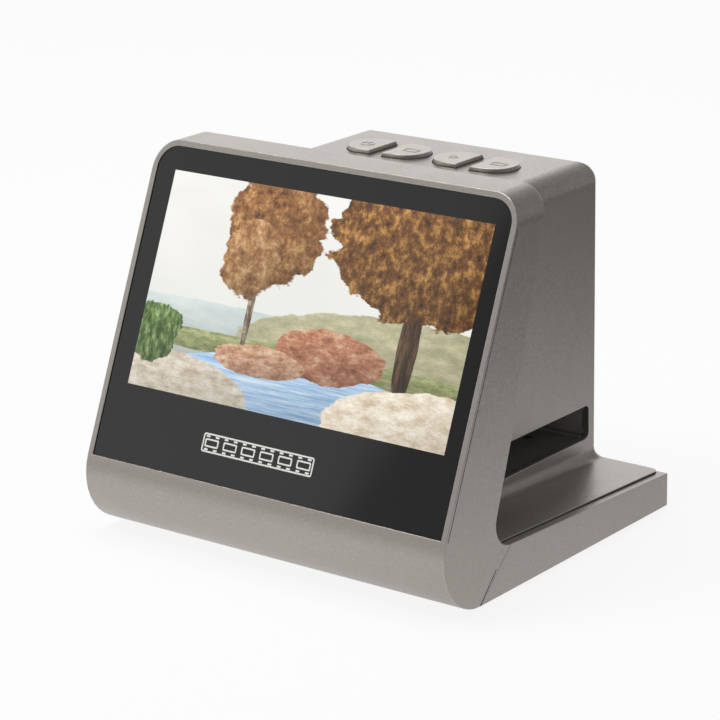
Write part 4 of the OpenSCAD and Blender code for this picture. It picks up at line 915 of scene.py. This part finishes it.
class SCANNER_OT_stage(ScannerOperator, bpy.types.Operator):
    """Sets the floor, the soft lights and the camera"""
    bl_idname = "scanner.stage"
    bl_label = "Studio"

    def execute(self, context):
        own = context.scene.scanner_stage
        self.make_floor(own)
        self.make_sky(context.scene)
        for name, power, side, spot in SOFTBOXES:
            self.add_softbox(name, getattr(own, power), side, Vector(spot), Vector(own.target))
        self.place_camera(context.scene, own)
        return {"FINISHED"}

    def make_floor(self, own):
        """White paper with faint shadows, because the lens and mirrors see mostly plain white.
        Mirrors see that white as a painted pool of light, fading away from the front left, where
        the lights no longer reach."""
        made, tree = material("white_sweep_paper")
        paths = add(tree, "ShaderNodeLightPath")
        seen = add(tree, "ShaderNodeMath", {
            0: paths.outputs["Is Camera Ray"], 1: paths.outputs["Is Transmission Ray"],
        }, operation="MAXIMUM")
        place = add(tree, "ShaderNodeTexCoord").outputs["Object"]
        # Painted pool of light: mirrors see the paper's white fade with distance from the front
        # left
        far = add(tree, "ShaderNodeVectorMath", {0: place, 1: LIT_MIDDLE}, operation="DISTANCE")
        fading = add(tree, "ShaderNodeMapRange", {
            "Value": far.outputs["Value"], "From Min": LIT_REACH[0], "From Max": LIT_REACH[1],
            "To Min": LIT_LEVELS[0], "To Max": LIT_LEVELS[1],
        })
        level = add(tree, "ShaderNodeMath", {0: seen, 1: fading}, operation="MAXIMUM")
        seen = add(tree, "ShaderNodeMath", {0: seen, 1: paths.outputs["Is Glossy Ray"]},
                   operation="MAXIMUM")
        fibre = grain(tree, 3 * MM, detail=4)
        tint = add(tree, "ShaderNodeValToRGB", {"Fac": fibre.outputs["Fac"]}, stops=[
            (0.3, linear("#F4F4F3")), (0.7, linear("#F8F8F7")),
        ])
        paper = add(tree, "ShaderNodeBsdfDiffuse", {"Color": tint.outputs["Color"]})
        white = add(tree, "ShaderNodeEmission", {"Color": flat(1), "Strength": level})
        share = add(tree, "ShaderNodeMath", {0: seen, 1: PAPER_GLOW}, operation="MULTIPLY")
        both = add(tree, "ShaderNodeMixShader", {"Fac": share, 1: paper, 2: white})
        add(tree, "ShaderNodeOutputMaterial", {"Surface": both})
        sheet = bmesh.new()
        bmesh.ops.create_grid(sheet, x_segments=8, y_segments=8, size=own.floor_side / 2)
        data = bpy.data.meshes.new("studio_floor")
        sheet.to_mesh(data)
        sheet.free()
        data.materials.append(made)
        floor = bpy.data.objects.new("studio_floor", data)
        bpy.context.scene.collection.objects.link(floor)

    def make_sky(self, scene):
        """Studio walls: white to the lens, and to the rest pale at the horizon and greyer over
        it."""
        world = bpy.data.worlds.new("studio_walls")
        scene.world = world
        world.use_nodes = True
        tree = world.node_tree
        tree.nodes.clear()
        way = add(tree, "ShaderNodeTexCoord").outputs["Generated"]
        side = add(tree, "ShaderNodeSeparateXYZ", {"Vector": way})
        height = add(tree, "ShaderNodeValToRGB", {"Fac": side.outputs["Z"]},
                     stops=[(place, flat(tone)) for place, tone in WALL_LEVELS])
        # The front of the room, behind the camera, is the darker half
        front = add(tree, "ShaderNodeMapRange", {
            "Value": side.outputs["Y"], "From Min": -0.7, "From Max": 0.3,
            "To Min": FRONT_DARK, "To Max": 1.0,
        })
        # The right of the room is darker too, so the sides stand off from the tops
        right = add(tree, "ShaderNodeMapRange", {
            "Value": side.outputs["X"], "From Min": -0.1, "From Max": 0.5,
            "To Min": 1.0, "To Max": RIGHT_DARK,
        })
        dark = add(tree, "ShaderNodeMath", {0: front, 1: right}, operation="MULTIPLY")
        # Only mirrors see the dark cloths there, which take little from the room's soft light
        paths = add(tree, "ShaderNodeLightPath")
        dim = add(tree, "ShaderNodeMapRange", {
            "Value": paths.outputs["Is Glossy Ray"], "To Min": SOFT_LIGHT, "To Max": dark,
        })
        walls = add(tree, "ShaderNodeVectorMath", {0: height.outputs["Color"], "Scale": dim},
                    operation="SCALE")
        shine = add(tree, "ShaderNodeMath", {
            0: paths.outputs["Is Glossy Ray"], 1: MIRRORED_WHITE,
        }, operation="MULTIPLY")
        seen = add(tree, "ShaderNodeMath", {0: paths.outputs["Is Camera Ray"], 1: shine},
                   operation="MAXIMUM")
        seen = add(tree, "ShaderNodeMath", {0: seen, 1: paths.outputs["Is Transmission Ray"]},
                   operation="MAXIMUM")
        shown = add(tree, "ShaderNodeMix", {"Factor": seen, "A": walls, "B": flat(1)},
                    data_type="RGBA")
        backdrop = add(tree, "ShaderNodeBackground", {"Color": shown, "Strength": 1})
        add(tree, "ShaderNodeOutputWorld", {"Surface": backdrop})

    def add_softbox(self, name, power, side, spot, aim):
        """A square area light that faces a point."""
        lamp = bpy.data.lights.new(name, "AREA")
        lamp.energy = power
        lamp.shape = "SQUARE"
        lamp.size = side
        holder = bpy.data.objects.new(name, lamp)
        holder.location = spot
        holder.rotation_euler = (spot - aim).to_track_quat("Z", "Y").to_euler()
        bpy.context.scene.collection.objects.link(holder)

    def place_camera(self, scene, own):
        """The camera, turned round its target by azimuth, elevation and roll."""
        az, el = own.azimuth, own.elevation
        back = Vector((math.sin(az) * math.cos(el), -math.cos(az) * math.cos(el), math.sin(el)))
        right = Vector((math.cos(az), math.sin(az), 0))
        level = Matrix((right, back.cross(right), back)).transposed()
        turn = level @ Matrix.Rotation(own.roll, 3, "Z")
        lens = bpy.data.cameras.new("product_camera")
        lens.lens = own.lens
        lens.sensor_width = 36
        lens.clip_start = 0.05
        camera = bpy.data.objects.new("product_camera", lens)
        place = Matrix.Translation(Vector(own.target) + back * own.distance)
        camera.matrix_world = place @ turn.to_4x4()
        scene.collection.objects.link(camera)
        scene.camera = camera


class SCANNER_PT_finishes(bpy.types.Panel):
    """Lists the scanner's steps in the sidebar"""
    bl_idname = "SCANNER_PT_finishes"
    bl_label = "Film Scanner"
    bl_space_type = "VIEW_3D"
    bl_region_type = "UI"
    bl_category = "Film Scanner"

    def draw(self, context):
        for name, group in SETTINGS.items():
            box = self.layout.box()
            own = getattr(context.scene, name)
            for prop in group.__annotations__:
                box.prop(own, prop)
        for operator in OPERATORS:
            self.layout.operator(operator.bl_idname)


SETTINGS = {
    "scanner_housing": HousingSettings, "scanner_display": DisplaySettings,
    "scanner_keys": KeySettings, "scanner_stage": StageSettings,
}
OPERATORS = (
    SCANNER_OT_housing, SCANNER_OT_display, SCANNER_OT_keys, SCANNER_OT_tunnel, SCANNER_OT_camera,
    SCANNER_OT_boards, SCANNER_OT_stage,
)


def register():
    for group in (*SETTINGS.values(), *OPERATORS, SCANNER_PT_finishes):
        bpy.utils.register_class(group)
    for name, group in SETTINGS.items():
        setattr(bpy.types.Scene, name, PointerProperty(type=group))


def unregister():
    for name in SETTINGS:
        delattr(bpy.types.Scene, name)
    for group in reversed((*SETTINGS.values(), *OPERATORS, SCANNER_PT_finishes)):
        bpy.utils.unregister_class(group)


def main():
    """Registers the add-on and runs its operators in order."""
    register()
    bpy.context.scene.view_settings.view_transform = "Standard"
    for operator in OPERATORS:
        group, name = operator.bl_idname.split(".")
        getattr(getattr(bpy.ops, group), name)()


if __name__ == "__main__":
    main()
